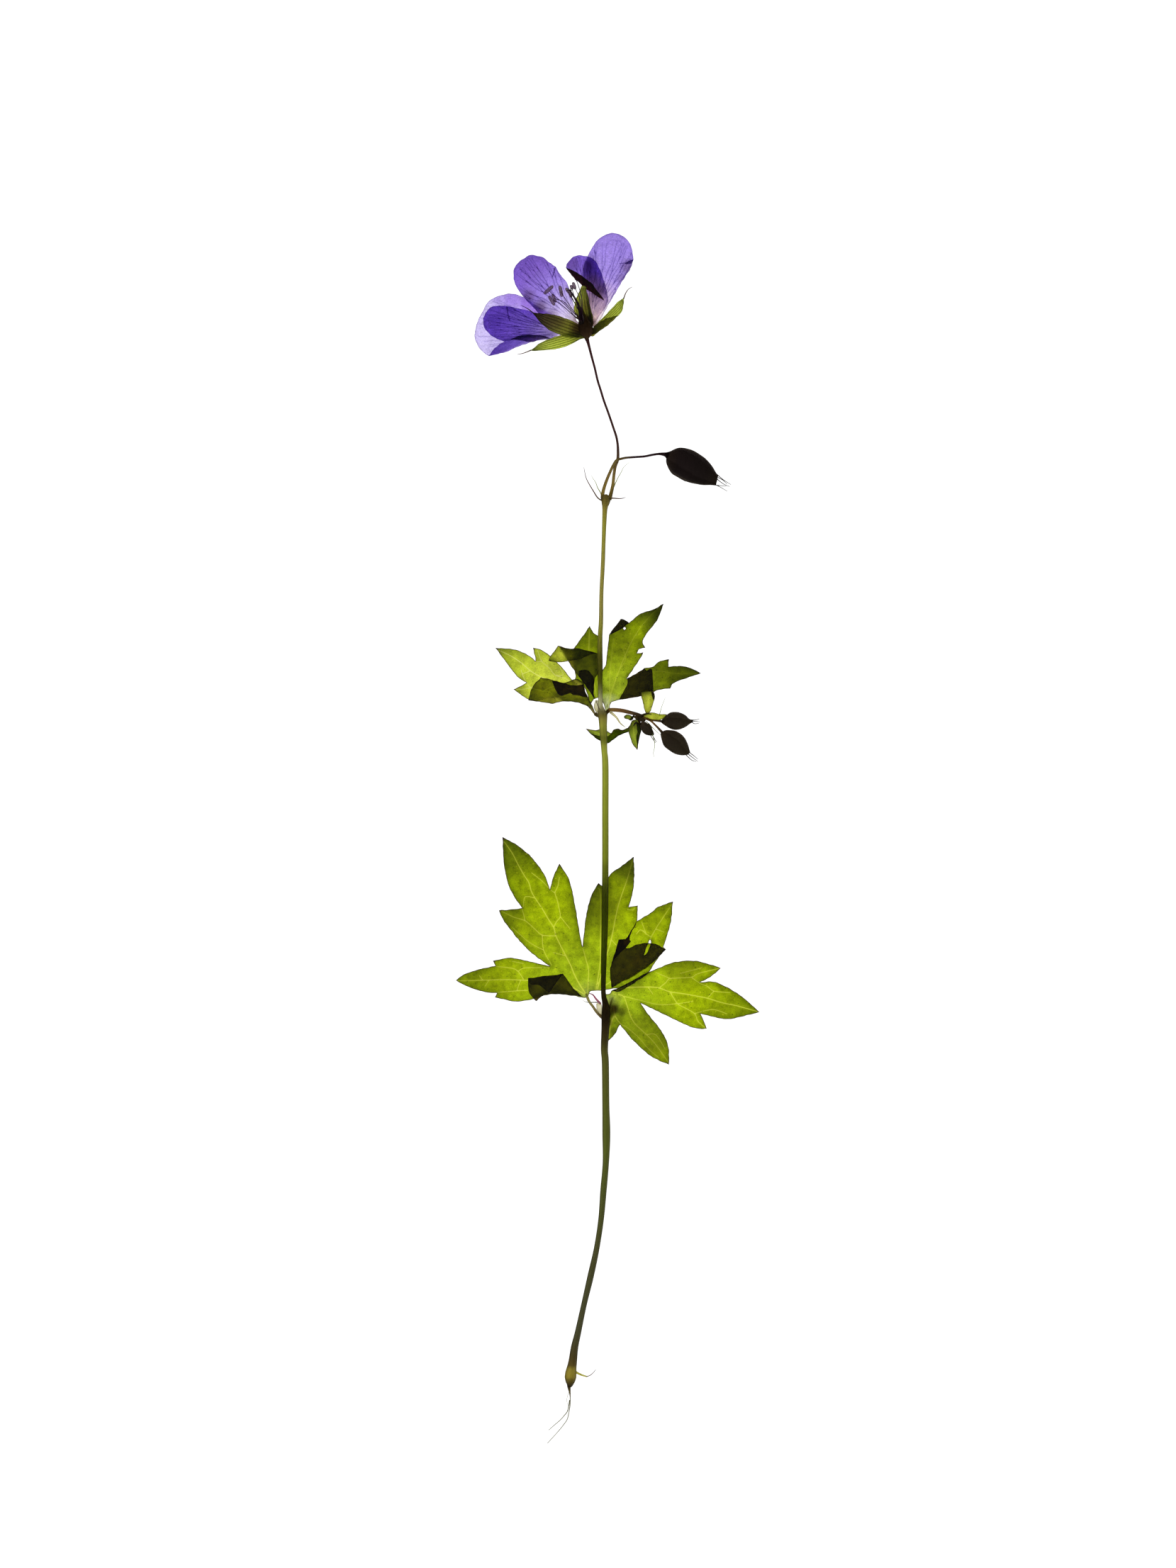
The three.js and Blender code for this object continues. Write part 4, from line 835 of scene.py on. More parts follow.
lowerLeft = {
    "base": (-4.3, -33.1), "reach": 38.0, "material": leafBlade,
    "blades": [
        {"outline": [[(-5.4, -33.7), (-8.5, -33.1), (-12.3, -33), (-16.8, -34.2), (-19.8, -34.4)], [(-23.8, -33.5)],
             [(-23.4, -32.7), (-25.8, -32.4), (-29.5, -31.3)], [(-32.1, -29.9), (-29.8, -28.4), (-26.4, -27.4)],
             [(-23.7, -26.9)], [(-24.2, -25.8), (-20.8, -25.2), (-17.6, -25.7)],
             [(-12.3, -27), (-16.2, -24.1), (-19.3, -20.8), (-21.9, -17.4)], [(-23, -15.1), (-20.6, -15)],
             [(-18.1, -14.7), (-20.6, -10.7), (-21.9, -5.5)], [(-22.2, 0.4), (-17.7, -2.4), (-13.8, -6.8)],
             [(-12.2, -10.7), (-11.5, -8.2)], [(-10.2, -5.3), (-8.1, -8.7), (-6.9, -13.9), (-6, -19.3)],
             [(-5.3, -22.9), (-5, -19.9), (-4.3, -15.1), (-3.3, -11.8)], [(-1.9, -9.4), (-1.1, -9.9)],
             [(-0.3, -9.4), (0.6, -7.5), (3.1, -5.7)], [(5.5, -3.8), (5.7, -7.3), (5.4, -11.1)], [(4.5, -14.4)],
             [(6.4, -14.2)], [(6.3, -17.5), (9.2, -15.6), (10.9, -14.3)],
             [(13.8, -13.3), (13.5, -17.1), (12.6, -20.6)], [(11.8, -22.9)], [(12.4, -23.5), (10.7, -25.3)],
             [(8.8, -28.3), (6.1, -29.8), (3.6, -31.3)], [(0.6, -31.9), (-1.6, -32.2), (-2.8, -32.15), (-3.7, -32.4)],
             [(-4.1, -33.4), (-4.6, -33.7)]],
         "veins": [(mainVein, [(-4.3, -33.1), (-5.5, -31.5), (-6.8, -29.2), (-7.8, -26.8), (-8.8, -24.8),
              (-10, -22.5), (-10.9, -20.6), (-11.4, -18.8), (-12.6, -16.9), (-13.7, -15), (-14.5, -13.8),
              (-15.3, -12.6), (-16.1, -11.2), (-16.6, -9.4), (-17.6, -7.8), (-18.8, -5.7), (-20.2, -3),
              (-21.9, -0.6)]),
             (sideVein, [(-11.4, -18.8), (-10.8, -17.6), (-10, -16.5), (-10.3, -14.5), (-10.7, -12.8), (-11.1, -11.5),
              (-10.5, -10), (-10.2, -8.2)]), (fineVein, [(-11.1, -11.5), (-12.2, -10.7), (-13.8, -9), (-16.1, -7.2)]),
             (fineVein, [(-10, -16.5), (-7.9, -19.1)]),
             (sideVein, [(-10.9, -20.6), (-13.8, -20.4), (-15.3, -19.2), (-17.4, -17.4), (-19.8, -16.6),
              (-22.3, -15.4)]), (fineVein, [(-17.4, -17.4), (-18.1, -14.7)]),
             (sideVein, [(-13.8, -20.4), (-13.5, -23.6), (-11.8, -26.8)]),
             (fineVein, [(-13.5, -23.6), (-16.6, -21.9), (-20.1, -18.8)]),
             (fineVein, [(-15.3, -12.6), (-17.4, -12.3), (-17.8, -14.5)]),
             (fineVein, [(-8.8, -24.8), (-11.5, -24.1)]),
             (sideVein, [(-4.2, -32.5), (-4, -28.1), (-4.5, -25.8), (-5.2, -23.2)]),
             (sideVein, [(-2.5, -32.2), (-1.6, -26.6), (-1.5, -22.1), (-1.5, -11.8), (-2.1, -10.5)]),
             (mainVein, [(-2.2, -32.2), (-0.8, -26.8), (0.8, -21.3), (2.2, -14.5), (4.2, -8.5), (5.4, -4.3)]),
             (sideVein, [(-1.6, -31.9), (3.4, -28.1), (7.2, -24.3), (10.2, -19.1), (11.7, -16.8), (13.7, -13.8)]),
             (fineVein, [(10.2, -19.1), (12, -19.8)]),
             (fineVein, [(9.2, -20.8), (8.2, -20.2), (7, -19.3), (6.1, -20.2)]),
             (fineVein, [(8.2, -20.2), (7.2, -17.6)]), (fineVein, [(0.8, -21.3), (1.8, -22.5), (2.9, -23.1)]),
             (fineVein, [(4.2, -15), (5.4, -15.1), (5.8, -14.7)]),
             (mainVein, [(-5, -32.9), (-8.5, -31), (-13, -30.3), (-16.9, -30), (-22.1, -29.8), (-29.5, -30),
              (-31.8, -30)]), (sideVein, [(-17.8, -29.7), (-18.9, -28.1), (-20.2, -27.4), (-23.6, -27)]),
             (fineVein, [(-18.9, -28.1), (-17.8, -27.4), (-15.3, -27.3), (-12.3, -27.3)]),
             (sideVein, [(-17.8, -26.4), (-20.2, -25.9)]), (fineVein, [(-18.4, -30), (-19.2, -32.1)]),
             (sideVein, [(-16.9, -32.1), (-19.3, -32.2), (-23.4, -32.5)]),
             (fineVein, [(-26.4, -29.8), (-27.1, -28.9)]), (fineVein, [(-25.1, -30), (-25.9, -31.2)])],
         "holes": [[[(8.7, -22.1), (8.8, -21.7), (9, -21.4)], [(9.2, -21.8), (9.2, -22.2)]]],
         "shade": [(5.5, -5, 8.5, 0.8), (-2.5, -14, 8.5, 0.74), (1.5, -26, 4, 0.25), (-21.5, -2, 10, 0.45),
             (-22, -16, 8, 0.5), (-17, -20, 6, 0.25), (-10.5, -5.5, 4, 0.1), (13.5, -14, 5, 0.3),
             (-27, -30.4, 10, 0.36), (-1.2, -10.5, 4, 0.82), (-4.6, -23.5, 2.5, 0.25), (-6.3, -19.8, 2.4, 0.35),
             (-16, -12.3, 3.5, 0.14), (-8.5, -23, 6.5, 0.18), (10, -18, 4, 0.25)],
         "ground": 0.04},
        {"outline": [[(2.3, -21.3), (3.3, -21.4), (4, -23.2)],
             [(6.1, -22.4), (7.7, -22.1), (8.9, -22.1), (10.3, -22.3)],
             [(12.3, -23.5), (11, -24.8), (10, -25.8), (8.7, -27), (6.8, -28.3), (5, -29.4), (3, -30.4)],
             [(0.9, -31.7), (0.6, -29.5), (0.6, -27.3), (1.1, -26), (1.7, -23.9)]],
         "level": 1, "crease": [2], "ground": 0.88, "shade": [(7, -26, 3, 0.92)],
         "holes": [[[(9, -22.2), (9.1, -22.5), (8.2, -24.4)], [(7.7, -24.7), (8.1, -23.4), (8.6, -22.3)]]]},
        {"outline": [[(6.1, -17.5), (5.9, -18.3), (5, -20.1), (4.7, -21.4)],
             [(5, -21.7), (4, -22.9), (3.2, -23.6), (2.2, -24.7), (1.1, -26.1)],
             [(0.7, -26.8), (1.1, -25.6), (1.7, -23.7)], [(2.3, -21.3)], [(3.8, -21.3), (4.8, -19.8)]],
         "level": 2, "ground": 1.0},
        {"outline": [[(-16.8, -29.5), (-13.3, -29.1)], [(-9.4, -28.6), (-8.4, -30), (-7.2, -31.6)],
             [(-5.3, -33.5), (-6.9, -33.2), (-10, -32.9), (-12.6, -32.9), (-13.8, -33.3)],
             [(-15.1, -34.4), (-16.4, -32.9), (-16.8, -31.3)]],
         "level": 1, "crease": [2], "ground": 0.85},
        {"outline": [[(-16.8, -29.5), (-13.3, -29.1)], [(-9.4, -28.6), (-11, -30.7), (-11.8, -31.9)],
             [(-12.4, -32.6), (-13.2, -31.9), (-14.8, -30.9), (-16.3, -30.8)]],
         "level": 2, "ground": 0.55},
    ],
    "stalk": [(-0.9, -38.0, 1.2, 0.36), (-1.8, -37.2, 1.0, 0.31), (-2.5, -36.4, 0.8, 0.29), (-3.1, -35.5, 0.6, 0.27),
        (-3.8, -34.6, 0.45, 0.27), (-4.25, -33.6, 0.35, 0.3), (-4.5, -32.8, 0.3, 0.16)],
    "stalkMaterial": leafStalkSkin,
}
makePiece("lowerLeafLeftBlade", foldedLeaf(lowerLeft, 1.5), "leaf", "lower_leaf_left")

lowerRight = {
    "base": (0.5, -34), "reach": 34.0, "material": leafBlade,
    "blades": [
        {"outline": [[(0.8, -32.2), (2.7, -31.4), (6.3, -29.4), (9.3, -28)],
             [(11.1, -27.2), (14.7, -26), (19.2, -25.9)], [(23.9, -27.3), (22.1, -29)],
             [(19.6, -30.4), (23.1, -30.4), (27.8, -32.9)], [(32.1, -36.6), (28.9, -37.4), (24.9, -38.1)],
             [(19.7, -37)], [(21, -40.2), (17.8, -39.9), (13.2, -37.8)],
             [(7, -34.8), (9, -37.6), (11.5, -40.8), (12.9, -44.1)], [(13, -47.8), (9.4, -46.2), (5.7, -43)],
             [(2.6, -39.3), (1.5, -41.4)], [(0, -43), (-0.6, -38.5), (-0.8, -35), (-0.7, -33.1)],
             [(-0.5, -32.9), (0.5, -32.7)]],
         "material": nodeShadeBlade,
         "veins": [(mainVein, [(1.1, -32.7), (3.4, -31.6), (8.7, -31.4), (10.9, -31.6), (13.2, -32.4), (15.4, -32.7),
              (18.4, -33.2), (21, -33.7), (24.4, -34.7), (27.4, -35.3), (32.1, -36.6)]),
             (sideVein, [(10.9, -31.6), (12.4, -30.4), (13.3, -29.6), (17.7, -29.3), (19.2, -28.5), (24, -27.3)]),
             (fineVein, [(17.7, -29.3), (19.6, -30.6), (21.1, -31.2), (22.5, -32.2), (25.9, -32.5)]),
             (sideVein, [(13.2, -32.4), (14.8, -34.9), (16.2, -35.7), (18.4, -37), (19.2, -38.7), (21, -40.2)]),
             (fineVein, [(18.4, -37), (22.2, -36.1), (25.2, -37)]), (fineVein, [(13.3, -29.6), (10.2, -28.3)]),
             (sideVein, [(1.3, -32.9), (3.3, -33.3), (4.2, -35.5), (4.8, -37.4), (5.7, -39), (7.2, -40.5),
              (9.2, -42.4), (10.9, -44.5), (13, -47.5)]),
             (fineVein, [(3.3, -33.3), (6.9, -34.2), (10.9, -35.1), (14.8, -34.9), (18.1, -34.4)]),
             (fineVein, [(8.2, -41.5), (10.2, -41.5), (12.2, -44.5)]),
             (fineVein, [(1.3, -35.5), (1.6, -37.4), (2.7, -39.1), (4.2, -40), (6.5, -42), (8.7, -44.5),
              (10.9, -46.4)]), (fineVein, [(8.7, -31.6), (9.6, -32.9)]), (fineVein, [(15.4, -28.5), (19.9, -27.3)]),
             (fineVein, [(22.5, -32.2), (21.4, -33.4)]),
             ((0.12, 0.04), [(1.3, -37.6), (0.8, -38.9), (0.45, -40.6), (0.35, -42.2)])],
         # The first spots are painted shade at the base under the stem node; the others are the blade's own darker
         # tone.
         "shade": [(1.3, -36.1, 2.4, 1.0), (0.2, -36.8, 2.6, 1.0), (-0.2, -38.8, 2.2, 1.0), (2.9, -36.6, 2.0, 0.8),
             (0.8, -34.2, 1.0, 0.6), (2, -39, 5, 0.3), (8, -38, 4.5, 0.36), (1.2, -41, 2.6, 0.5), (7.8, -41, 8, 0.45),
             (12.6, -47, 6, 0.35), (10, -43, 6, 0.5), (11, -37, 4, 0.2), (6, -30.2, 3, 0.35), (16, -27, 6, 0.4),
             (24, -37.5, 5, 0.15)]},
        {"outline": [[(0.8, -32.2), (2.7, -31.4), (6.3, -29.4), (8.6, -28.2)],
             [(8.4, -28.7), (5.4, -30.7), (2.6, -32.3)]],
         "level": 1, "crease": [0], "ground": 0.5},
    ],
    "stalk": [(-0.3, -37.6, 1.2, 0.3), (0.2, -36.4, 0.9, 0.26), (0.7, -34.8, 0.6, 0.2), (1.2, -33.4, 0.4, 0.12)],
    "stalkMaterial": leafStalkSkin,
}
makePiece("lowerLeafRightBlade", foldedLeaf(lowerRight, 4.5, lift=0.5), "leaf", "lower_leaf_right")

upperLeft = {
    "base": (-2.4, 25.9), "reach": 26.0, "material": paleLeafBlade,
    "blades": [
        {"outline": [[(-2.4, 25.9), (-3.4, 27.1), (-4.5, 28.1), (-6.3, 28.8), (-7.7, 29)],
             [(-9.2, 29), (-10.3, 29.8), (-11.8, 29.8), (-13.7, 29.4)], [(-15, 29.1), (-16.8, 29.5), (-18.3, 30.4)],
             [(-19.9, 31.6), (-18.1, 32.4)], [(-17.2, 33), (-19.2, 34.4), (-21.1, 36.8)],
             [(-23.7, 40.3), (-19.8, 40), (-17.2, 39.1)], [(-15.2, 37.6)],
             [(-15.7, 40.4), (-13.8, 39.8), (-12.4, 38.9)],
             [(-10.7, 37.4), (-9.5, 36.1), (-7.5, 33.6), (-5.7, 31.5), (-3.8, 28.9)]],
         "veins": [(mainVein, [(-2.9, 26.6), (-5.2, 28.9), (-8.1, 31.6), (-13, 33.8), (-14.5, 34.4), (-16.3, 35.5),
              (-18.3, 37.2), (-20.6, 38.7), (-23.2, 39.9)]),
             (sideVein, [(-7.6, 33.1), (-9.3, 34), (-11.1, 34.6), (-12.3, 36.1), (-13.9, 37.5), (-14.8, 39.8)]),
             (fineVein, [(-13.9, 37.5), (-15, 37.4)]),
             (sideVein, [(-12.3, 31.2), (-14.2, 33.1), (-16.1, 31.9), (-17.1, 33), (-17.8, 34.2), (-18.3, 35.7)]),
             (fineVein, [(-16.1, 31.9), (-17.8, 31.6), (-19.5, 31.6)]),
             (fineVein, [(-11.1, 34.6), (-9.4, 34.6), (-10.2, 36.4)]), (fineVein, [(-16.3, 35.5), (-17.8, 34.9)])],
         "shade": [(-24, 40.5, 5, 0.5), (-19.5, 31.6, 4, 0.4), (-11.2, 36.2, 4, 0.34), (-13.5, 38.5, 4, 0.28)],
         "ground": 0.08},
        {"outline": [[(-3.8, 45), (-2.9, 43.5)], [(-1.9, 42.9), (-1.6, 37.9), (-1.6, 33.4)], [(-1.8, 29.9)],
             [(-2.9, 29.5), (-3.3, 28.8)], [(-3.7, 28.1), (-4.0, 29.3), (-4.5, 31.2), (-5.5, 32.7)],
             [(-6.9, 33.7), (-6.8, 34.5)],
             [(-6.9, 35.4), (-7.2, 36.4), (-7.4, 39.1), (-7, 40.4), (-6.1, 41.6), (-4.8, 43.5)]],
         "material": leafBlade,
         "veins": [(sideVein, [(-2.2, 26.7), (-2.5, 31.2), (-3.8, 37.9), (-3.9, 41.7), (-3.8, 44.2)]),
             (fineVein, [(-2.2, 33.4), (-1.8, 31.2)])],
         "shade": [(-3.8, 42.5, 7, 0.56)], "ground": 0.26},
        {"outline": [[(-16.7, 29.3), (-16.5, 30.2), (-15.9, 32.1)],
             [(-14.2, 34), (-13, 33.9), (-10.7, 33.3), (-9.3, 32.9)],
             [(-8.8, 33), (-7.6, 33.5), (-6.5, 33.7), (-5.5, 33.3)],
             [(-5, 32.9), (-4.8, 31.5), (-4.1, 29.8), (-2.9, 27.4)],
             [(-2.5, 25.9), (-3.4, 27.1), (-4.2, 27.9), (-5.2, 28.5), (-6.3, 28.8), (-7.7, 29), (-9.2, 29),
              (-10.8, 28.7), (-11.7, 28.5), (-13, 28.7), (-14.5, 28.9)]],
         "level": 1, "crease": [4],
         "veins": [(fineVein, [(-15.9, 31.8), (-13.7, 31.2), (-12.2, 31), (-10.8, 29.5), (-10, 29.1)]),
             (fineVein, [(-13.7, 31.2), (-12.2, 31.9), (-10, 32.5)])],
         "ground": 0.42, "shade": [(-14.8, 31.4, 3.5, 0.5), (-7, 29.8, 2.5, 0.3)]},
        {"outline": [[(-11.8, 33.6), (-10.7, 33.2), (-9.3, 32.9), (-8, 32.5), (-6.6, 32.4)],
             [(-5.2, 32.6), (-4.9, 31.7), (-4.5, 30.4)], [(-4.3, 29.8), (-5.8, 30.2), (-7.2, 30.4), (-8, 30.8)],
             [(-9.5, 30.2), (-10.2, 30.3), (-11.1, 31.7)]],
         "level": 2, "ground": 0.94},
        {"outline": [[(-10.3, 40.6), (-9.5, 39.3), (-8.5, 37.7), (-6.9, 35.4), (-5.4, 33.3)],
             [(-3.8, 31.2), (-2.7, 29.5)], [(-2.9, 30.6), (-2.8, 32.9), (-2.5, 34.2), (-1.9, 35.5)],
             [(-1.9, 39.1), (-3.6, 39.6), (-6.1, 40.2), (-8, 40.2)]],
         "level": 2, "ground": 0.56},
        {"outline": [[(-6, 35.5), (-5, 35.7), (-4.1, 35.5), (-3.4, 34.8), (-2.9, 34)],
             [(-2.9, 32.9), (-2.9, 31.2), (-3, 30)], [(-3.8, 31.2), (-4.8, 32.6), (-5.4, 33.3)], [(-6.1, 34.5)]],
         "level": 3, "ground": 0.74},
        {"outline": [[(-12.5, 37.6), (-12, 38.7)], [(-10.5, 40.8), (-8, 40.2), (-6.1, 40.2), (-3.6, 39.6)],
             [(-2.1, 39.2), (-2.7, 39.2), (-4.6, 38.5), (-6.1, 37.9), (-8.4, 37.5), (-10.2, 37.3)]],
         "level": 3, "lean": 2, "crease": [1], "ground": 0.02, "material": foldedPaleBlade},
    ],
    "stalk": [(-1.8, 25.8, 1.5, 0.26), (-2.3, 26.1, 1.2, 0.25), (-2.8, 26.6, 0.8, 0.24), (-3.4, 27.4, 0.5, 0.22),
        (-4.0, 28.1, 0.4, 0.12)],
    "stalkMaterial": leafStalkSkin,
}
makePiece("upperLeafLeftBlade", foldedLeaf(upperLeft, 7.5), "leaf", "upper_leaf_left")

upperRight = {
    "base": (0.3, 27.9), "reach": 26.0, "material": leafBlade,
    "blades": [
        {"outline": [[(-0.55, 27.4), (-0.75, 28.2), (-1.15, 29.4), (-1.4, 31.5), (-1.5, 34)],
             [(-1, 35.8), (-0.4, 36.9), (-0.1, 39.2), (0.1, 41.2)], [(0.3, 43.1), (1.2, 44.4), (2, 45.4)],
             [(2.8, 46.5), (3.3, 46.4), (3.8, 46.2)], [(4.6, 45.7), (6.9, 47.5), (9.8, 48.6)],
             [(11.9, 49.8), (10.5, 46.2), (7.6, 42.3)], [(8, 40.4)], [(6.7, 40.1)], [(6.2, 39.2)],
             [(7.6, 39.4), (6.9, 37.9), (5.6, 36.1)], [(4.1, 33.8)], [(6.5, 34.9)],
             [(7.7, 36.1), (9.6, 36.4), (11.2, 37.6)], [(13, 37.9)], [(12.9, 36.4), (15.4, 36.5), (17.7, 36)],
             [(19.8, 34.9), (17.2, 34.1), (14.1, 32.9)], [(13.2, 31.7), (10.9, 31.5)],
             [(9.6, 30.9), (5.7, 30), (2.2, 29.3)], [(0.9, 28.9), (0.5, 28.2), (0.42, 27.4)]],
         "material": faintVeinBlade,
         "veins": [
             (mainVein, [(0.1, 27.8), (0.9, 31.2), (2.5, 35.7), (4, 39.4), (5.8, 42.9), (8.2, 46.2), (11.5, 49.5)]),
             (sideVein, [(0.8, 28.6), (0.4, 32.7), (0.8, 37.9), (1.3, 42.4)]),
             (sideVein, [(1.1, 28.9), (3.4, 31.6), (6.5, 33.8), (10.2, 35.4), (14.7, 34.9), (19.2, 34.9)]),
             (fineVein, [(2.5, 35.7), (3.8, 37.9), (3.4, 40.2), (4.6, 41.7)]), (fineVein, [(4, 39.4), (5.7, 39.8)]),
             (fineVein, [(5.8, 42.9), (7.2, 43.5)]),
             (fineVein, [(1.3, 29.7), (5.7, 30.1), (10.9, 31.9), (12.8, 32.2)])],
         "holes": [[[(3.25, 44.5), (3.5, 44.8), (3.8, 44.65), (3.85, 44.3), (3.55, 44.15)]]],
         "shade": [(11.5, 49, 8.5, 0.93), (2.2, 41.5, 7, 0.6), (5.6, 40, 4.5, 0.42), (11.4, 35, 4.5, 0.8),
             (0.9, 31.6, 2.6, 0.3), (15.5, 34.5, 8.5, 0.87), (18.5, 34.5, 7, 0.78), (9, 33, 5, 0.7), (4, 32, 3, 0.3)],
         "ground": 0.12},
        {"outline": [[(3.05, 46.5), (2, 45.4), (1.2, 44.4)], [(0.3, 43.1), (1.6, 43.6), (2.5, 44.1), (3.4, 44.8)],
             [(4.6, 45.6), (3.8, 46.2)]],
         "level": 1, "crease": [0], "ground": 0.88},
        {"outline": [[(4.2, 33.9), (6, 34.9)], [(7.8, 36)], [(8.3, 35.5), (9.4, 35.7)],
             [(9.7, 31.2), (8.8, 30.6), (5, 29.7)], [(2.4, 29.4), (3.4, 31.2), (4.2, 32.8)]],
         "level": 1, "crease": [3], "ground": 0.88},
    ],
    "stalk": [(-0.8, 26.0, 1.4, 0.3), (-0.3, 26.6, 1.1, 0.4), (-0.1, 27.2, 0.8, 0.42), (-0.08, 27.8, 0.55, 0.28),
        (0.0, 28.4, 0.4, 0.1)],
    "stalkMaterial": paleStalkSkin,
}
makePiece("upperLeafRightBlade", foldedLeaf(upperRight, 11.5, lift=0.12), "leaf", "upper_leaf_right")
print("leaves made")


# Side shoot

sideShoot = {
    "stalk": [(-0.6, 26.2), (0, 26.8), (0.4, 27.2), (1.9, 27.2), (3.4, 27), (5, 26.6), (6.5, 26.2), (7.5, 25.8)],
    "pedicels": [[(7.2, 25.8), (8.2, 25.35), (9.4, 25.05), (10.7, 24.9), (11.9, 24.75)],
        [(8.2, 25.4), (9.1, 24.95), (9.8, 24.3), (10.6, 23.5), (11.6, 22.4)],
        [(6.5, 25.6), (6.6, 24.9), (6.9, 24.1)]],
    "hairs": [[(10.9, 25.9), (11.1, 26.6), (11.5, 28), (12.2, 29.8)], [(8.2, 24.8), (9.8, 23.2), (11.3, 21.8)],
        [(9.2, 22.9), (10, 20.1), (9.7, 18.1), (9.9, 17.2)]],
    "tufts": [[(7.6, 26.2), (8.4, 26.4), (9.3, 26.3)], [(5.6, 25.9), (5.0, 25.4), (4.7, 25.1)],
        [(6.2, 24.6), (5.7, 24.2), (5.5, 23.8)], [(8.6, 24.2), (9.2, 23.6), (9.4, 22.9)]],
    "bract": [[(6.7, 26.2), (8.38, 26.6), (9.24, 26.7), (10.95, 26.4)], [(12.6, 26.2), (12.55, 25.6)],
        [(10.95, 25.05), (9.66, 24.95), (8.38, 25.3), (7.52, 25.6)]],
    "bractShade": [(7.2, 26, 1.6, 0.6), (10.3, 25.2, 1.2, 0.3)], "knot": (6.9, 25.4),
    "knotSides": ([(-1.3, 0.5), (-0.5, 0.6), (0.3, 0.35), (1.2, -0.2)], [(-1.3, 0.15), (-0.7, -0.3), (0.1, -0.7),
        (1.1, -0.6)]),
    "height": 1.3, "girth": 0.3, "swell": 0.1, "tuftWidth": 0.28, "hairWidth": 0.09,
}


def makeSideShoot():
    z = sideShoot["height"]
    line = sideShoot["stalk"]
    last = len(line) - 1
    girth, swell = sideShoot["girth"], sideShoot["swell"]
    route = [(x, y, z + 0.5 * (1 - i / last), girth + swell * math.sin(math.pi * i / last))
             for i, (x, y) in enumerate(line)]
    parts = [makeTube(route, shootSkin, sides=16, ribs=4)]
    for line in sideShoot["pedicels"]:
        last = len(line) - 1
        route = [(x, y, z - 0.1 * i / last, girth - swell * math.sin(math.pi * i / last))
                 for i, (x, y) in enumerate(line)]
        parts.append(makeTube(route, shootSkin, sides=12))
    kx, ky = sideShoot["knot"]
    upper, lower = ([(kx + dx, ky + dy) for dx, dy in side] for side in sideShoot["knotSides"])
    parts.append(makeLoft(upper, lower, z, 0.7, knotSkin, sides=28, rings=24, ledges=4, ledgeDepth=0.25))
    parts.append(makeSheet(sideShoot["bract"], limeBlade, levelAt(z - 0.2), cell=0.35,
                           base=(6.5, 26), reach=7, marks=shadeSpots(sideShoot["bractShade"])))
    parts += threads(sideShoot["tufts"], z + 0.3, sideShoot["tuftWidth"], knotSkin, taper=0.3)
    parts += threads(sideShoot["hairs"], z - 0.3, sideShoot["hairWidth"], greenHair, taper=0.4)
    makePiece("sideShootSkinned", parts, "stalk", "side_shoot")


makeSideShoot()

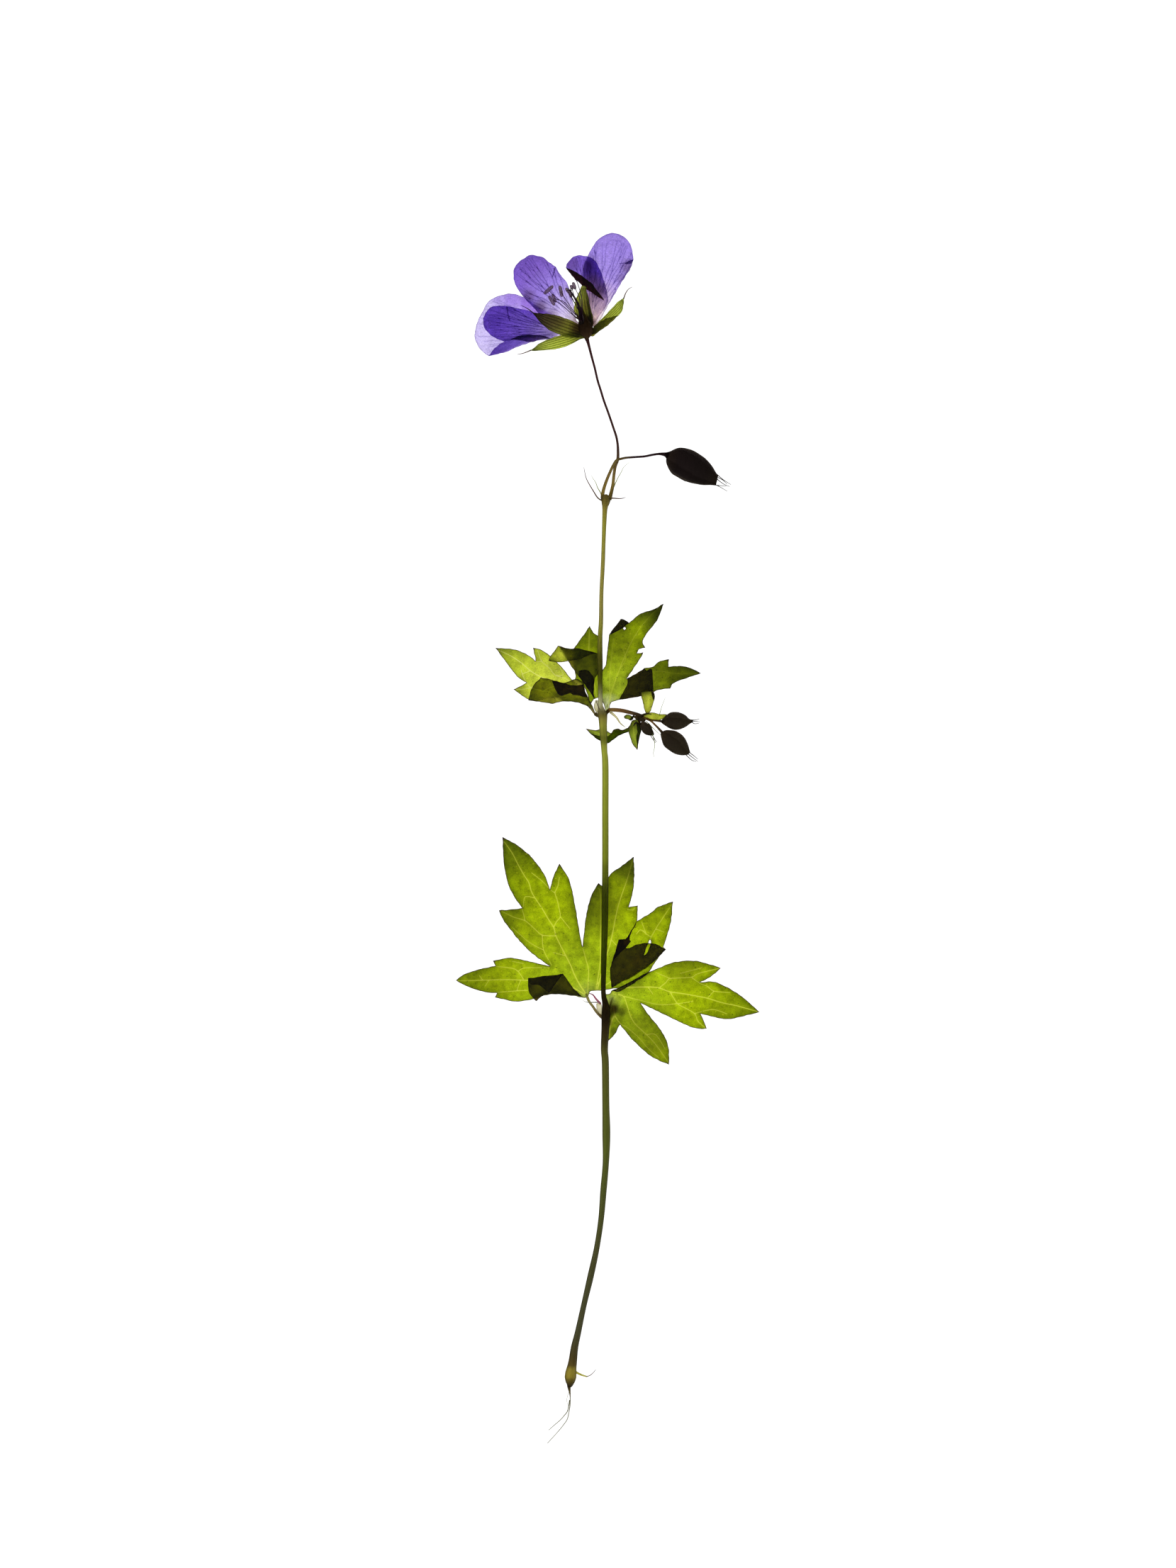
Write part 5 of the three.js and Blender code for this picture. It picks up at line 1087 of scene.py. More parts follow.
youngLeaves = {
    "side_leaf_1": {
        "base": (5, 24), "reach": 10.0, "lift": 0.17,
        "blades": [
            {"outline": [[(-4.7, 23.2), (-2.5, 23), (-1.1, 23.2)], [(0.8, 22.3)],
                 [(1.3, 23.1), (2.2, 23.25), (3.0, 23.05)], [(4.3, 23.4), (5.1, 24.5)], [(5.5, 24.1), (4.9, 22.9)],
                 [(4.2, 22.5), (2.8, 21.95), (1.1, 20.9), (0.1, 20.2), (-2.2, 21)]],
             "veins": [(youngVein, [(4.3, 23.2), (1.9, 22.2), (-0.5, 21.9), (-2.8, 22.6), (-4.3, 23.1)])],
             "shade": [(2.4, 22.3, 2.6, 0.15)], "ground": 0.05},
            {"outline": [[(-4.7, 23.2), (-3.3, 22.2), (-1.5, 21.6), (0.0, 21.7)], [(0.8, 22.2), (1.2, 23.0)],
                 [(2.2, 23.15), (3.0, 22.95)], [(4.3, 23.3), (5.0, 24.3)], [(5.35, 24.0), (4.8, 22.85)],
                 [(4.2, 22.5), (2.8, 21.95), (1.1, 20.9), (0.1, 20.2), (-2.2, 21)]],
             "level": 1, "crease": [5], "ground": 0.1},
        ],
    },
    "side_leaf_2": {
        "base": (5, 25), "reach": 7.0, "lift": 0.95,
        "blades": [
            {"outline": [[(5.16, 24.9), (4.56, 23.7), (4.41, 22.84), (4.69, 21.77), (5.06, 20.49), (5.59, 19.52)],
                 [(6.34, 18.66), (6.49, 19.52), (6.56, 20.49), (6.88, 21.77), (7.14, 22.95)],
                 [(6.9, 24.4), (6.5, 25.2), (5.7, 25.2)]],
             "veins": [(youngVein, [(5.4, 24.4), (5.6, 22), (6.2, 19.2)])], "shade": [(5.3, 24.6, 2.4, 0.5)],
             "ground": 0.05},
            {"outline": [[(6.1, 24.7), (6.15, 23.9), (6.34, 22.63), (6.13, 21.56)], [(6.2, 20.3), (6.34, 18.9)],
                 [(6.5, 19.6), (6.56, 20.49), (6.88, 21.77), (7.1, 22.95)], [(6.85, 24.25)]],
             "level": 1, "crease": [2], "ground": 0.5},
        ],
    },
    "side_leaf_3": {
        "base": (8.4, 26.7), "reach": 5.0, "lift": 1.05, "material": limeBlade,
        "blades": [
            {"outline": [[(7.05, 31.1), (7.16, 29.9), (7.41, 28.84), (7.78, 27.34)], [(8.12, 26.5), (8.7, 26.6)],
                 [(9.19, 27.02), (9.49, 27.99), (9.84, 29.16)], [(10.05, 30.1), (9.66, 31.1)], [(8.3, 31.2)]],
             "veins": [(youngVein, [(8.4, 26.9), (8.5, 28.5), (8.7, 30.3)])]},
            {"outline": [[(9.3, 31.0), (9.49, 29.9), (9.66, 29.3)], [(9.84, 29.5), (10.05, 30.1), (9.66, 31.0)]],
             "level": 1, "ground": 0.6},
        ],
    },
    "side_leaf_4": {
        "base": (5.4, 25.4), "reach": 2.5, "lift": 1.4, "cell": 0.25,
        "blades": [
            {"outline": [[(3.56, 25.95), (3.62, 25.4)], [(4.31, 25.2), (4.95, 24.9)], [(5.5, 25.3), (5.3, 25.8)],
                 [(4.52, 26.16), (3.99, 26.27)]],
             "veins": [((0.05, 0.03), [(5.2, 25.4), (4.2, 25.5)])], "shade": [(3.7, 25.7, 0.8, 0.5)], "ground": 0.2},
        ],
    },
}
for node, leaf in youngLeaves.items():
    look = {"material": youngBlade, "folded": youngBlade, "cell": 0.3}
    parts = foldedLeaf(dict(look, **leaf), len(node) + leaf["lift"] * 9, lift=leaf["lift"])
    makePiece(node + "_blade", parts, "young_leaf", node)
print("side shoot made")


# Buds

buds = {
    "top_bud": {
        "upper": [(12.2, 81.5), (13.3, 81.9), (14.1, 82.3), (15, 82.6), (15.9, 82.6), (16.9, 82.4), (18.1, 82),
            (19.3, 81.3), (20.6, 80.4), (21.4, 79.6), (22.2, 78.6), (22.9, 77.4), (23.4, 76.7)],
        "lower": [(12.4, 80.4), (12.4, 79.5), (12.9, 78.3), (13.7, 77.2), (14.7, 76.6), (15.9, 75.9), (17.2, 75.3),
            (18.8, 74.9), (20.2, 74.7), (21.8, 74.7), (22.9, 74.6)],
        "z": 1.87, "skin": topBudSkin, "flat": 0.55, "ledges": 5, "rings": 60, "sides": 56,
        "awns": [[(23.1, 77), (24.4, 75.9), (26.1, 74.8)], [(23.4, 76.3), (24.3, 75.8), (25.3, 74.9)],
            [(22.9, 76.2), (24.4, 75), (25.8, 74.4)], [(22.3, 74.8), (23.8, 74.6), (25.1, 74.5)],
            [(22.3, 75), (23.6, 74.4), (25.3, 73.4)]],
    },
    "side_bud_1": {
        "upper": [(11.3, 24.9), (11.9, 25.6), (12.5, 26.1), (13.3, 26.6), (14.3, 26.7), (15.4, 26.6), (16.5, 26.1),
            (17.2, 25.4), (18.1, 25.0)],
        "lower": [(11.3, 24.6), (11.7, 24.2), (12.3, 23.8), (13.1, 23.3), (14.1, 23), (15.3, 23.1), (16.5, 23.6),
            (17.2, 24.1), (18.1, 24.7)],
        "z": 1.14, "skin": budSkin, "flat": 0.6, "ledges": 5, "rings": 44, "sides": 44,
        "awns": [[(17.7, 25.1), (18.6, 25.1), (19.4, 25.3)], [(17.7, 24.9), (18.6, 24.8), (19.5, 24.7)],
            [(17.6, 24.8), (18.4, 24.3), (19.3, 24.4)]],
    },
    "side_bud_2": {
        "upper": [(11.3, 22.5), (12.2, 22.9), (13.1, 22.9), (14.3, 22.7), (15.4, 22.1), (16.3, 21.3), (16.9, 20.2),
            (17.2, 19.3), (17.5, 18.2)],
        "lower": [(11.2, 22.1), (11.4, 21), (11.9, 19.6), (13.1, 18.6), (14.3, 17.9), (15.7, 17.6), (16.9, 17.7)],
        "z": 1.3, "skin": budSkin, "flat": 0.6, "ledges": 5, "rings": 48, "sides": 44,
        "awns": [[(17.2, 18.3), (18.4, 17.4), (19.1, 16.8)], [(16.9, 18), (18.3, 16.9), (19.1, 16.3)],
            [(16.6, 17.7), (17.8, 16.6), (18.7, 16.3)]],
    },
    "side_bud_3": {
        "upper": [(6.7, 24.5), (7.2, 23.0), (7.9, 22.1), (8.8, 21.8), (9.6, 21.8)],
        "lower": [(7.6, 24.8), (8.2, 24.6), (9.2, 23.6), (9.8, 22.4), (9.8, 21.9)], "z": 0.7, "skin": budSkin,
        "flat": 0.6, "ledges": 3, "rings": 32, "sides": 36,
        "awns": [[(9.3, 22.2), (10, 21), (10.4, 20.4)], [(9, 22.1), (9.6, 21), (10.2, 20.3)]],
    },
}


budForm = {"ledgeDepth": 0.12, "twist": 0.35, "curl": 0.13, "awnWidth": 0.1, "awnTaper": 0.5}


def makeBud(node, bud):
    body = makeLoft(bud["upper"], bud["lower"], bud["z"], bud["flat"], bud["skin"], sides=bud["sides"],
                    rings=bud["rings"], ledges=bud["ledges"], ledgeDepth=budForm["ledgeDepth"],
                    twist=budForm["twist"], curl=len(node) * budForm["curl"])
    awns = threads(bud["awns"], bud["z"], budForm["awnWidth"], budSkin, taper=budForm["awnTaper"])
    makePiece(node + "_sepals", [body] + awns, "bud", node)


for node, bud in buds.items():
    makeBud(node, bud)
print("buds made")


# Flower

receptacle = np.array([-4.8, 107.0])


def petalSurface(height):
    # Petals curl up a little at the rim.
    def surface(x, y):
        px, py = x - receptacle[0], y - receptacle[1]
        rim = smoothStep(np.hypot(px, py), 13, 26)
        return height(px, py) + 0.3 + 1.2 * rim + 0.22 * ripple(x, y, 5.0, 2.2)
    return surface


veinForm = {
    "count": 5, "width": 0.045,                  # main veins of a petal, and how thick they start
    "stages": (0.26, 0.52, 0.74, 0.93),          # where they fork, and where they end
    "forks": (1, 0.8, 0.62),                     # how many of them fork
    "faint": (0, 0, 0.008, 0.015),               # the outer branches fade
    "joined": 0.5, "loopWidth": (-0.018, -0.018),      # some ends join in a loop below the rim
}


def reachOf(loop, claw, angle):
    # How far the outline lies from the claw in one direction
    dx, dy = math.cos(angle), math.sin(angle)
    best = 0.0
    for a, b in zip(loop, np.roll(loop, -1, axis=0)):
        ab, ca = b - a, a - claw
        cross = dx * ab[1] - dy * ab[0]
        if abs(cross) > 1e-9:
            r = (ca[0] * ab[1] - ca[1] * ab[0]) / cross
            t = (ca[0] * dy - ca[1] * dx) / cross
            if 0 <= t <= 1 and r > best:
                best = r
    return best


def fanVeins(petal, seed):
    # Veins that leave the claw side by side, fork and end near the rim
    pick = random.Random(seed)
    loop = outlineLoop(petal["outline"], 0.4)
    claw, aim, spreadAngle = np.array(petal["claw"], float), math.radians(petal["aim"]), petal["spread"]
    veins, ends = [], []

    def at(s, angle):
        turned = angle * (0.5 + 0.5 * min(s * 1.3, 1))
        r = reachOf(loop, claw, aim + turned) * s
        return claw[0] + r * math.cos(aim + turned), claw[1] + r * math.sin(aim + turned)

    def grow(s, start, angle, stage, gap, thick):
        end = veinForm["stages"][stage] + pick.uniform(-0.05, 0.05)
        line = []
        for t in np.linspace(0, 1, 6):
            sway = gap * pick.uniform(-0.06, 0.06) * (0 < t < 1)
            line.append(at(s + (end - s) * t, start + (angle - start) * float(smoothStep(t, 0, 0.8)) + sway))
        faint = veinForm["faint"][stage]
        veins.append(((thick - faint, thick * 0.72 - faint), line))
        if stage == len(veinForm["stages"]) - 1:
            ends.append((end, angle))
            return
        for sign in (-1, 1):
            if stage < 1 or pick.random() < veinForm["forks"][stage]:
                grow(end, angle, angle + sign * gap * pick.uniform(0.2, 0.34), stage + 1, gap * 0.55, thick * 0.74)

    gap = 2 * spreadAngle / veinForm["count"]
    for k in range(veinForm["count"]):
        angle = -spreadAngle + gap * (k + 0.5) + pick.uniform(-0.1, 0.1) * gap
        grow(0.12, angle, angle, 0, gap, veinForm["width"])
    for (s, angle), (t, beside) in zip(ends, ends[1:]):
        if pick.random() < veinForm["joined"]:
            middle = at((s + t) / 2 + 0.015, (angle + beside) / 2)
            veins.append((veinForm["loopWidth"], [at(s, angle), middle, at(t, beside)]))
    return veins


petalStep = 0.14         # height between two petals that lie on each other
petalForm = {
    "thickness": 0.06, "cell": 0.36, "rib": 0.02, "puff": 0.03,
    "foldCell": 0.32, "foldLift": 0.06, "foldRise": 0.14, "foldReach": 0.7,      # a fold rises off its crease
}
slopingOver = lambda x, y: 2 * petalStep - 1.5 * petalStep * smoothStep(y, 7.8, 14)

petals = {
    "petal_1": {
        "height": levelAt(0.0), "material": palePetal, "claw": (-7.5, 107.6), "aim": 183, "spread": 0.42, "seed": 3,
        "reach": 21.5,
        "outline": [[(-5.5, 107.2), (-9.8, 107), (-11.8, 105.7), (-16.7, 105.1), (-20.6, 103.6)], [(-23.6, 102.4)],
            [(-25.2, 102.1), (-27, 103.6), (-28.1, 106.3), (-27.3, 109.6)],
            [(-26.4, 111.3), (-25.1, 113.6), (-21.7, 115.1), (-18.3, 114.8)], [(-13.8, 112), (-8.5, 109.2)]],
        "fold": [[(-25.2, 102), (-23.8, 103.8), (-22.1, 105), (-20.4, 105.6)],
            [(-18.8, 106.3), (-16.3, 106.5), (-13.9, 106.3), (-12, 105.8)],
            [(-14.2, 105.5), (-16.1, 105), (-19, 104), (-21.6, 102.9)]],
        "crease": 0, "foldShade": 0.05, "foldMaterial": violetPetal,
        "shade": [(-22.4, 114.4, 3.2, 0.36), (-20, 114.2, 4, 0.58), (-16.8, 113.6, 4.2, 0.7), (-14.4, 112, 4.5, 0.72),
            (-11, 110.4, 3.5, 0.6)],
    },
    "petal_2": {
        "height": levelAt(petalStep), "material": violetPetal, "claw": (-7.5, 107.2), "aim": 176, "spread": 0.3,
        "seed": 5, "reach": 19,
        "outline": [[(-5.5, 107.4), (-8.5, 106.3), (-12, 105.8), (-14.2, 106), (-18.3, 105.8)],
            [(-21.8, 105.1), (-23.6, 105.8), (-25.1, 106.8), (-26.2, 108.4)],
            [(-26.3, 110), (-25.2, 112), (-23.8, 112.6), (-21.1, 112.6)],
            [(-19.2, 112.2), (-16.8, 111.7), (-15.1, 111), (-10.8, 109.2)]],
        "fold": [[(-20.7, 105.5), (-18.8, 106.3), (-16.3, 106.6), (-13.9, 106.4)],
            [(-12, 105.8), (-14.2, 105.6), (-16.1, 105), (-18.3, 105.4)]],
        "crease": 0, "foldShade": 0.68, "creases": [(0.07, [(-21.3, 112.65), (-21, 110.7), (-20.7, 109.6)])],
        "shade": [(-14, 107.5, 5, 0.1)],
    },
    "petal_3": {
        "height": slopingOver, "material": violetPetal, "claw": (-6.3, 108.6), "aim": 129, "spread": 0.5, "seed": 8,
        "reach": 19,
        "outline": [[(-5.2, 108.1), (-8.5, 108.5), (-12.3, 109.6), (-14.5, 111.1)],
            [(-17.9, 114.7), (-19.6, 117.4), (-19.6, 120.9), (-16.5, 123.3)], [(-13.5, 122.9), (-12.4, 121.9)],
            [(-11, 121), (-9.8, 119.1), (-8.4, 117.2), (-7.2, 113)], [(-6.6, 109.6)]],
        "fold": [[(-11, 121), (-11.4, 119.8), (-11.75, 118.6)], [(-11.45, 119.5), (-11.15, 120.3)]],
        "crease": 1, "foldShade": 0.5, "creases": [(0.05, [(-11, 121), (-11.4, 119.6), (-11.7, 118.7)])],
        "shade": [(-16, 121.5, 5, 0.12), (-14.3, 112.3, 2.4, 0.6), (-16.8, 114.8, 2.2, 0.5), (-12, 110.6, 2.4, 0.5),
            (-6.4, 109.3, 2.4, 0.6)],
    },
    "petal_4": {
        "height": levelAt(petalStep), "material": frontPetal, "claw": (-3.3, 109.0), "aim": 98, "spread": 0.55,
        "seed": 11, "reach": 15,
        "outline": [
            [(-8.7, 121.5), (-7.6, 122.8), (-6.7, 123.3), (-5.3, 123.3), (-4.1, 123.1), (-3, 122.5), (-2.1, 121.5)],
            [(-1.3, 119.5), (-0.5, 117.3), (-0.1, 115.5), (0.1, 114.3)],
            [(-0.1, 113), (-0.9, 111.8), (-1.8, 110.4), (-2.9, 108.9)],
            [(-3.6, 108), (-4.4, 109.2), (-4.9, 111.5), (-5.1, 113.9)], [(-5.0, 115.8), (-5.46, 117.04)],
            [(-6.3, 117.8), (-6.7, 118.05)], [(-6.95, 118.45)], [(-7.2, 118.75), (-7.6, 119.1)],
            [(-7.8, 119.5), (-8.3, 120.0)], [(-8.83, 120.79)]],
        "fold": [[(-8.83, 120.79), (-7.43, 120.2), (-5.55, 119.14), (-3.68, 117.74)],
            [(-2.36, 116.14), (-1.24, 114.64), (-0.64, 113.85)],
            [(-1.8, 114.4), (-3.11, 115.35), (-4.42, 116.14), (-5.46, 117.04)], [(-6.3, 117.8), (-6.7, 118.05)],
            [(-6.95, 118.45)], [(-7.2, 118.75), (-7.6, 119.1)], [(-7.8, 119.5), (-8.3, 120.0)]],
        "crease": 2, "foldShade": 1.0,
        "shade": [(-7.6, 121.6, 2.4, 0.4), (-1.2, 117, 3, 0.3), (-4.6, 113.6, 2.0, 0.6), (-4.1, 109.8, 1.8, 0.9)],
    },
    "petal_5": {
        "height": levelAt(0.0), "material": lightPetal, "claw": (-3.2, 109.0), "aim": 72, "spread": 0.42, "seed": 14,
        "reach": 20,
        "outline": [[(-3.4, 108.3), (-4, 113), (-5.1, 117), (-5.3, 119.2), (-5, 121.3)],
            [(-4.2, 123.3), (-1.9, 126.8), (1.1, 128), (3.8, 127), (5.1, 124.9)],
            [(5.5, 122.5), (5, 120.8), (4, 119.2), (3.1, 117.8), (1.6, 115.3)],
            [(0, 112.6), (-1.3, 110.1), (-2.5, 108.5)]],
        "fold": [[(5.5, 122.4), (4.6, 122.1), (3.6, 121.6)], [(4.4, 121.5), (5.2, 121.6)]], "crease": 0,
        "foldShade": 0.4,
        "creases": [(0.05, [(5.5, 122.5), (4.2, 121.9), (2.6, 121.6)]),
            (0.04, [(3.3, 121.4), (2.8, 120.4), (2.7, 119.8)])],
        "shade": [(1, 127.5, 4, 0.1), (4.4, 120.8, 2.4, 0.5), (3.2, 118.4, 1.8, 0.35), (-4.4, 121, 3.2, 0.7),
            (-3.4, 118.4, 3, 0.7), (-2.2, 115.8, 3.0, 0.6), (-3.1, 108.9, 1.5, 0.8)],
    },
}


def makePetal(node, petal):
    surface = petalSurface(petal["height"])
    # A crease is laid in as a dark, ribbed vein line: painted shade along a real crease.
    veins = fanVeins(petal, petal["seed"]) + [((width, width), line) for width, line in petal.get("creases", ())]
    common = {"thickness": petalForm["thickness"], "base": tuple(receptacle), "reach": petal["reach"]}
    # The shade spots are painted shade where petals overlap each other and round the receptacle, with some of the
    # petal's own darker tone.
    blade = makeSheet(petal["outline"], petal["material"], surface, veins=veins, cell=petalForm["cell"],
                      puff=petalForm["puff"], vein=petalForm["rib"], marks=shadeSpots(petal["shade"]), **common)
    crease = edgeLine(petal["fold"], petal["crease"], 0.3)

    def raised(x, y):
        gap = lineDistance(np.column_stack([x, y]), crease)
        rise = petalForm["foldRise"] * smoothStep(gap, 0, petalForm["foldReach"])
        return surface(x, y) + petalForm["foldLift"] + rise

    # A folded flap is darkened by its foldShade: painted shade where the flap lies over its petal.
    fold = makeSheet(petal["fold"], petal.get("foldMaterial", petal["material"]), raised,
                     cell=petalForm["foldCell"], marks=shadeSpots((), petal["foldShade"]), **common)
    makePiece(node + "_blade", [blade, fold], "petal", node)


for node, petal in petals.items():
    makePetal(node, petal)
print("petals made")

sepals = [
    {"height": levelAt(1.5),
     "outline": [[(-5, 105.8), (-8.5, 106), (-10.3, 106.6), (-11.9, 107.2), (-13.7, 108.6)],
         [(-15.9, 111.2), (-13.7, 111), (-10.9, 110.6), (-9.1, 110)], [(-7.3, 109.4), (-4.6, 107.5)]],
     "awn": [(-15.6, 111), (-16.9, 112), (-18.3, 112.7)], "tip": (-15.7, 111.1), "root": (-5.2, 107),
     "shade": [(-13.5, 109.5, 5, 0.6), (-10.5, 109.9, 3, 0.6), (-6, 107.8, 3.2, 0.95)], "ground": 0.32},
    {"height": lambda x, y: 1.1 * smoothStep(x, -12, -9),
     "outline": [[(-4.6, 105.8), (-6.1, 105.4), (-7.6, 104.5), (-10.7, 103.5), (-13.7, 103.2)],
         [(-16.5, 103.2), (-14.5, 104.6), (-12.2, 105.7), (-9.8, 106.5)], [(-7.3, 107.2), (-4.6, 106.6)]],
     "awn": [(-16.2, 103.3), (-17.7, 102.7), (-19.1, 102.4)], "tip": (-16.3, 103.3), "root": (-5, 106.2),
     "shade": [(-6, 106, 3, 0.4)]},
    {"height": lambda x, y: 1.1 * (1 - smoothStep(x, 4.5, 8.5)),
     "outline": [[(-3.6, 107.1), (-2.6, 108.4), (-1.3, 109.85), (0.5, 111.7), (2.4, 113.7)],
         [(3.5, 114.4), (3.4, 113), (3, 111.5)],
         [(2.4, 110.7), (0.7, 109.3), (-0.6, 108.1), (-1.7, 107.3), (-3.5, 106.2)]],
     "awn": [(3.4, 114.2), (3.8, 115.3), (4.4, 116.2), (5.2, 116.7)], "tip": (3.4, 114.2), "root": (-4, 107),
     "shade": [(-3.8, 107.2, 2.2, 0.6)],
     "fold": [[(2.4, 110.7), (1.2, 110.35), (-0.3, 109.85), (-1.8, 109.1), (-2.93, 108.2), (-3.68, 107.3)],
         [(-3.5, 106.3), (-2.2, 106.95), (-1.05, 107.7), (0.08, 108.45), (1.2, 109.5)]]},
    {"height": levelAt(1.5),
     "outline": [[(-5.4, 107.5), (-6.4, 110), (-7.1, 111.8), (-6.7, 114)],
         [(-5.4, 116.9), (-4.6, 116.5), (-4.1, 114.3)], [(-3.3, 111.2), (-3.1, 109.7), (-4.2, 107.4)]],
     "tip": (-5.4, 116.7), "root": (-4.7, 107.4),
     "shade": [(-4.8, 108.4, 4.2, 1.0), (-4.6, 112.4, 2.6, 0.7), (-4.2, 114.4, 1.8, 0.5)], "ground": 0.25},
    {"height": levelAt(1.3),
     "outline": [[(-3.6, 107.2), (-3.0, 108.8), (-3.2, 110.4), (-3.6, 112), (-3.9, 113.6)],
         [(-4.2, 115.6), (-4.35, 113.8)], [(-4.1, 111.2), (-4.1, 107.8)]],
     "tip": (-4.2, 115.5), "root": (-3.9, 107.6), "shade": [(-3.6, 108.4, 3.4, 0.9)], "ground": 0.3},
]


def ribLines(outline, root, tip, count=5):
    # Ribs that run side by side and meet at the tip
    loop = outlineLoop(outline, 0.3)
    root, tip = np.array(root, float), np.array(tip, float)
    axis = tip - root
    length = np.linalg.norm(axis)
    ahead = axis / length
    across = np.array([-ahead[1], ahead[0]])
    offsets = (loop - root) @ across
    travelled = (loop - root) @ ahead / length
    lines = []
    for k in range(count):
        share = (k + 0.5) / count * 2 - 1
        line = []
        for t in np.linspace(0.04, 0.96, 12):
            edge = offsets[np.abs(travelled - t) < 0.06]
            low, high = (edge.min(), edge.max()) if len(edge) else (0, 0)
            mid, half = (low + high) / 2, (high - low) / 2
            line.append(tuple(root + ahead * length * t + across * (mid + half * share * 0.86)))
        lines.append(((0.05, 0.03), line))
    return lines


calyxForm = {
    "left": [(-4.6, 105.4), (-5.0, 105.9), (-5.7, 106.6), (-6.1, 107.6), (-6.2, 108.8), (-5.95, 110.0), (-5.7, 111.1),
        (-5.5, 112.3)],
    "right": [(-4.2, 105.4), (-3.8, 105.9), (-3.3, 106.6), (-3.1, 107.6), (-3.4, 108.8), (-4.2, 110.0),
        (-4.85, 111.1), (-5.3, 112.3)],
    "scale": [(-3.6, 106.5), (-3.1, 106.3), (-2.6, 106.7)], "height": 1.9, "flat": 0.9, "reach": 11.5, "cell": 0.3,
    "thickness": 0.16, "rib": 0.06, "foldLift": 0.2, "foldThickness": 0.14, "foldShade": 0.75, "awnWidth": 0.14,
}


def makeCalyx():
    parts = []
    for k, sepal in enumerate(sepals):
        def surface(x, y, height=sepal["height"], seed=k * 2.1):
            return height(x - receptacle[0], y - receptacle[1]) + 0.3 + 0.12 * ripple(x, y, 3.0, seed)

        def folded(x, y, under=surface):
            return under(x, y) + calyxForm["foldLift"]

        common = {"cell": calyxForm["cell"], "base": sepal["root"], "reach": calyxForm["reach"]}
        # The sepals' shade spots are painted shade round the receptacle, where sepals, petals and stamens overlap,
        # with some of their own darker tone.
        parts.append(makeSheet(sepal["outline"], sepalBlade, surface, thickness=calyxForm["thickness"],
                               vein=calyxForm["rib"], veins=ribLines(sepal["outline"], sepal["root"], sepal["tip"]),
                               marks=shadeSpots(sepal["shade"], sepal.get("ground", 0.0)), **common))
        if "fold" in sepal:
            # The folded part of a sepal is darkened by foldShade: painted shade where it lies over the sepal.
            parts.append(makeSheet(sepal["fold"], sepalBlade, folded, thickness=calyxForm["foldThickness"],
                                   marks=shadeSpots((), calyxForm["foldShade"]), **common))
        if "awn" in sepal:
            x, y = np.array(sepal["awn"][:1]).T
            parts += threads([sepal["awn"]], float(surface(x, y)[0]), calyxForm["awnWidth"], brownThread)
    parts.append(makeLoft(calyxForm["left"], calyxForm["right"], calyxForm["height"], calyxForm["flat"],
                          receptacleSkin, sides=44, rings=36, ledges=5, ledgeDepth=0.1))
    parts += threads([calyxForm["scale"]], 1.6, 0.26, limeScale, taper=0.5)
    makePiece("calyxSepals", parts, "sepal", "calyx")


makeCalyx()

stamens = {
    "height": 4.1,
    "anthers": [((-13.4, 115), (-11.5, 116.7), 0.3), ((-12.4, 114.6), (-11.2, 112.6), 0.28),
        ((-11.7, 115), (-10.9, 113.2), 0.24), ((-10.1, 116.7), (-9.6, 114.4), 0.3),
        ((-8.8, 116.2), (-8.2, 115.2), 0.24), ((-8.2, 115.5), (-7.6, 114.2), 0.24),
        ((-7.8, 116.8), (-7.4, 115.9), 0.24), ((-7.3, 117.4), (-6.8, 115.9), 0.27)],
    "antherShape": [(0, 0.35), (0.06, 0.7), (0.2, 0.95), (0.5, 1), (0.8, 0.95), (0.94, 0.7), (1, 0.35)],
    "filaments": [[(-5.2, 109.2), (-6.8, 110), (-8.5, 112.2), (-11.5, 114.8), (-12.4, 115.8)],
        [(-5.2, 109.2), (-7.3, 110.5), (-9.3, 112.3), (-10.9, 113.4), (-11.7, 113.8)],
        [(-5.2, 109.2), (-7, 110.8), (-9, 113.1), (-10.7, 113.8), (-11.2, 114.1)],
        [(-5.2, 109.2), (-7.3, 111.5), (-9.3, 114.5), (-9.9, 115.6)],
        [(-5.2, 109.2), (-6.1, 111.5), (-7.6, 114.1), (-8.5, 115.8)],
        [(-5.2, 109.2), (-5.8, 110.7), (-7, 113.2), (-7.9, 114.9)],
        [(-5.2, 109.2), (-5.7, 111), (-6.8, 113.7), (-7.6, 116.4)],
        [(-5.2, 109.2), (-5.5, 111.5), (-5.8, 113.7), (-7, 116.5)],
        [(-5.4, 110), (-5.4, 113.7), (-6.1, 116.5), (-6.6, 117.8)]],
    "drops": [1.1, 1.1, 1.0, 0.9, 0.4, 0.4, 0.2, 0.2, 0.3],
    "column": [(-5, 107.2, -2.0, 0.5), (-5.5, 109.7, -1.0, 0.5), (-6.1, 112.3, 0.1, 0.3), (-6.8, 113.8, 0.1, 0.22),
        (-7.9, 115.6, 0, 0.17)],
    "filamentWidth": 0.09, "thinning": 0.02, "armTurns": (20, 75, 130, 165), "armReach": (0.5, 0.9), "armWidth": 0.12,
}


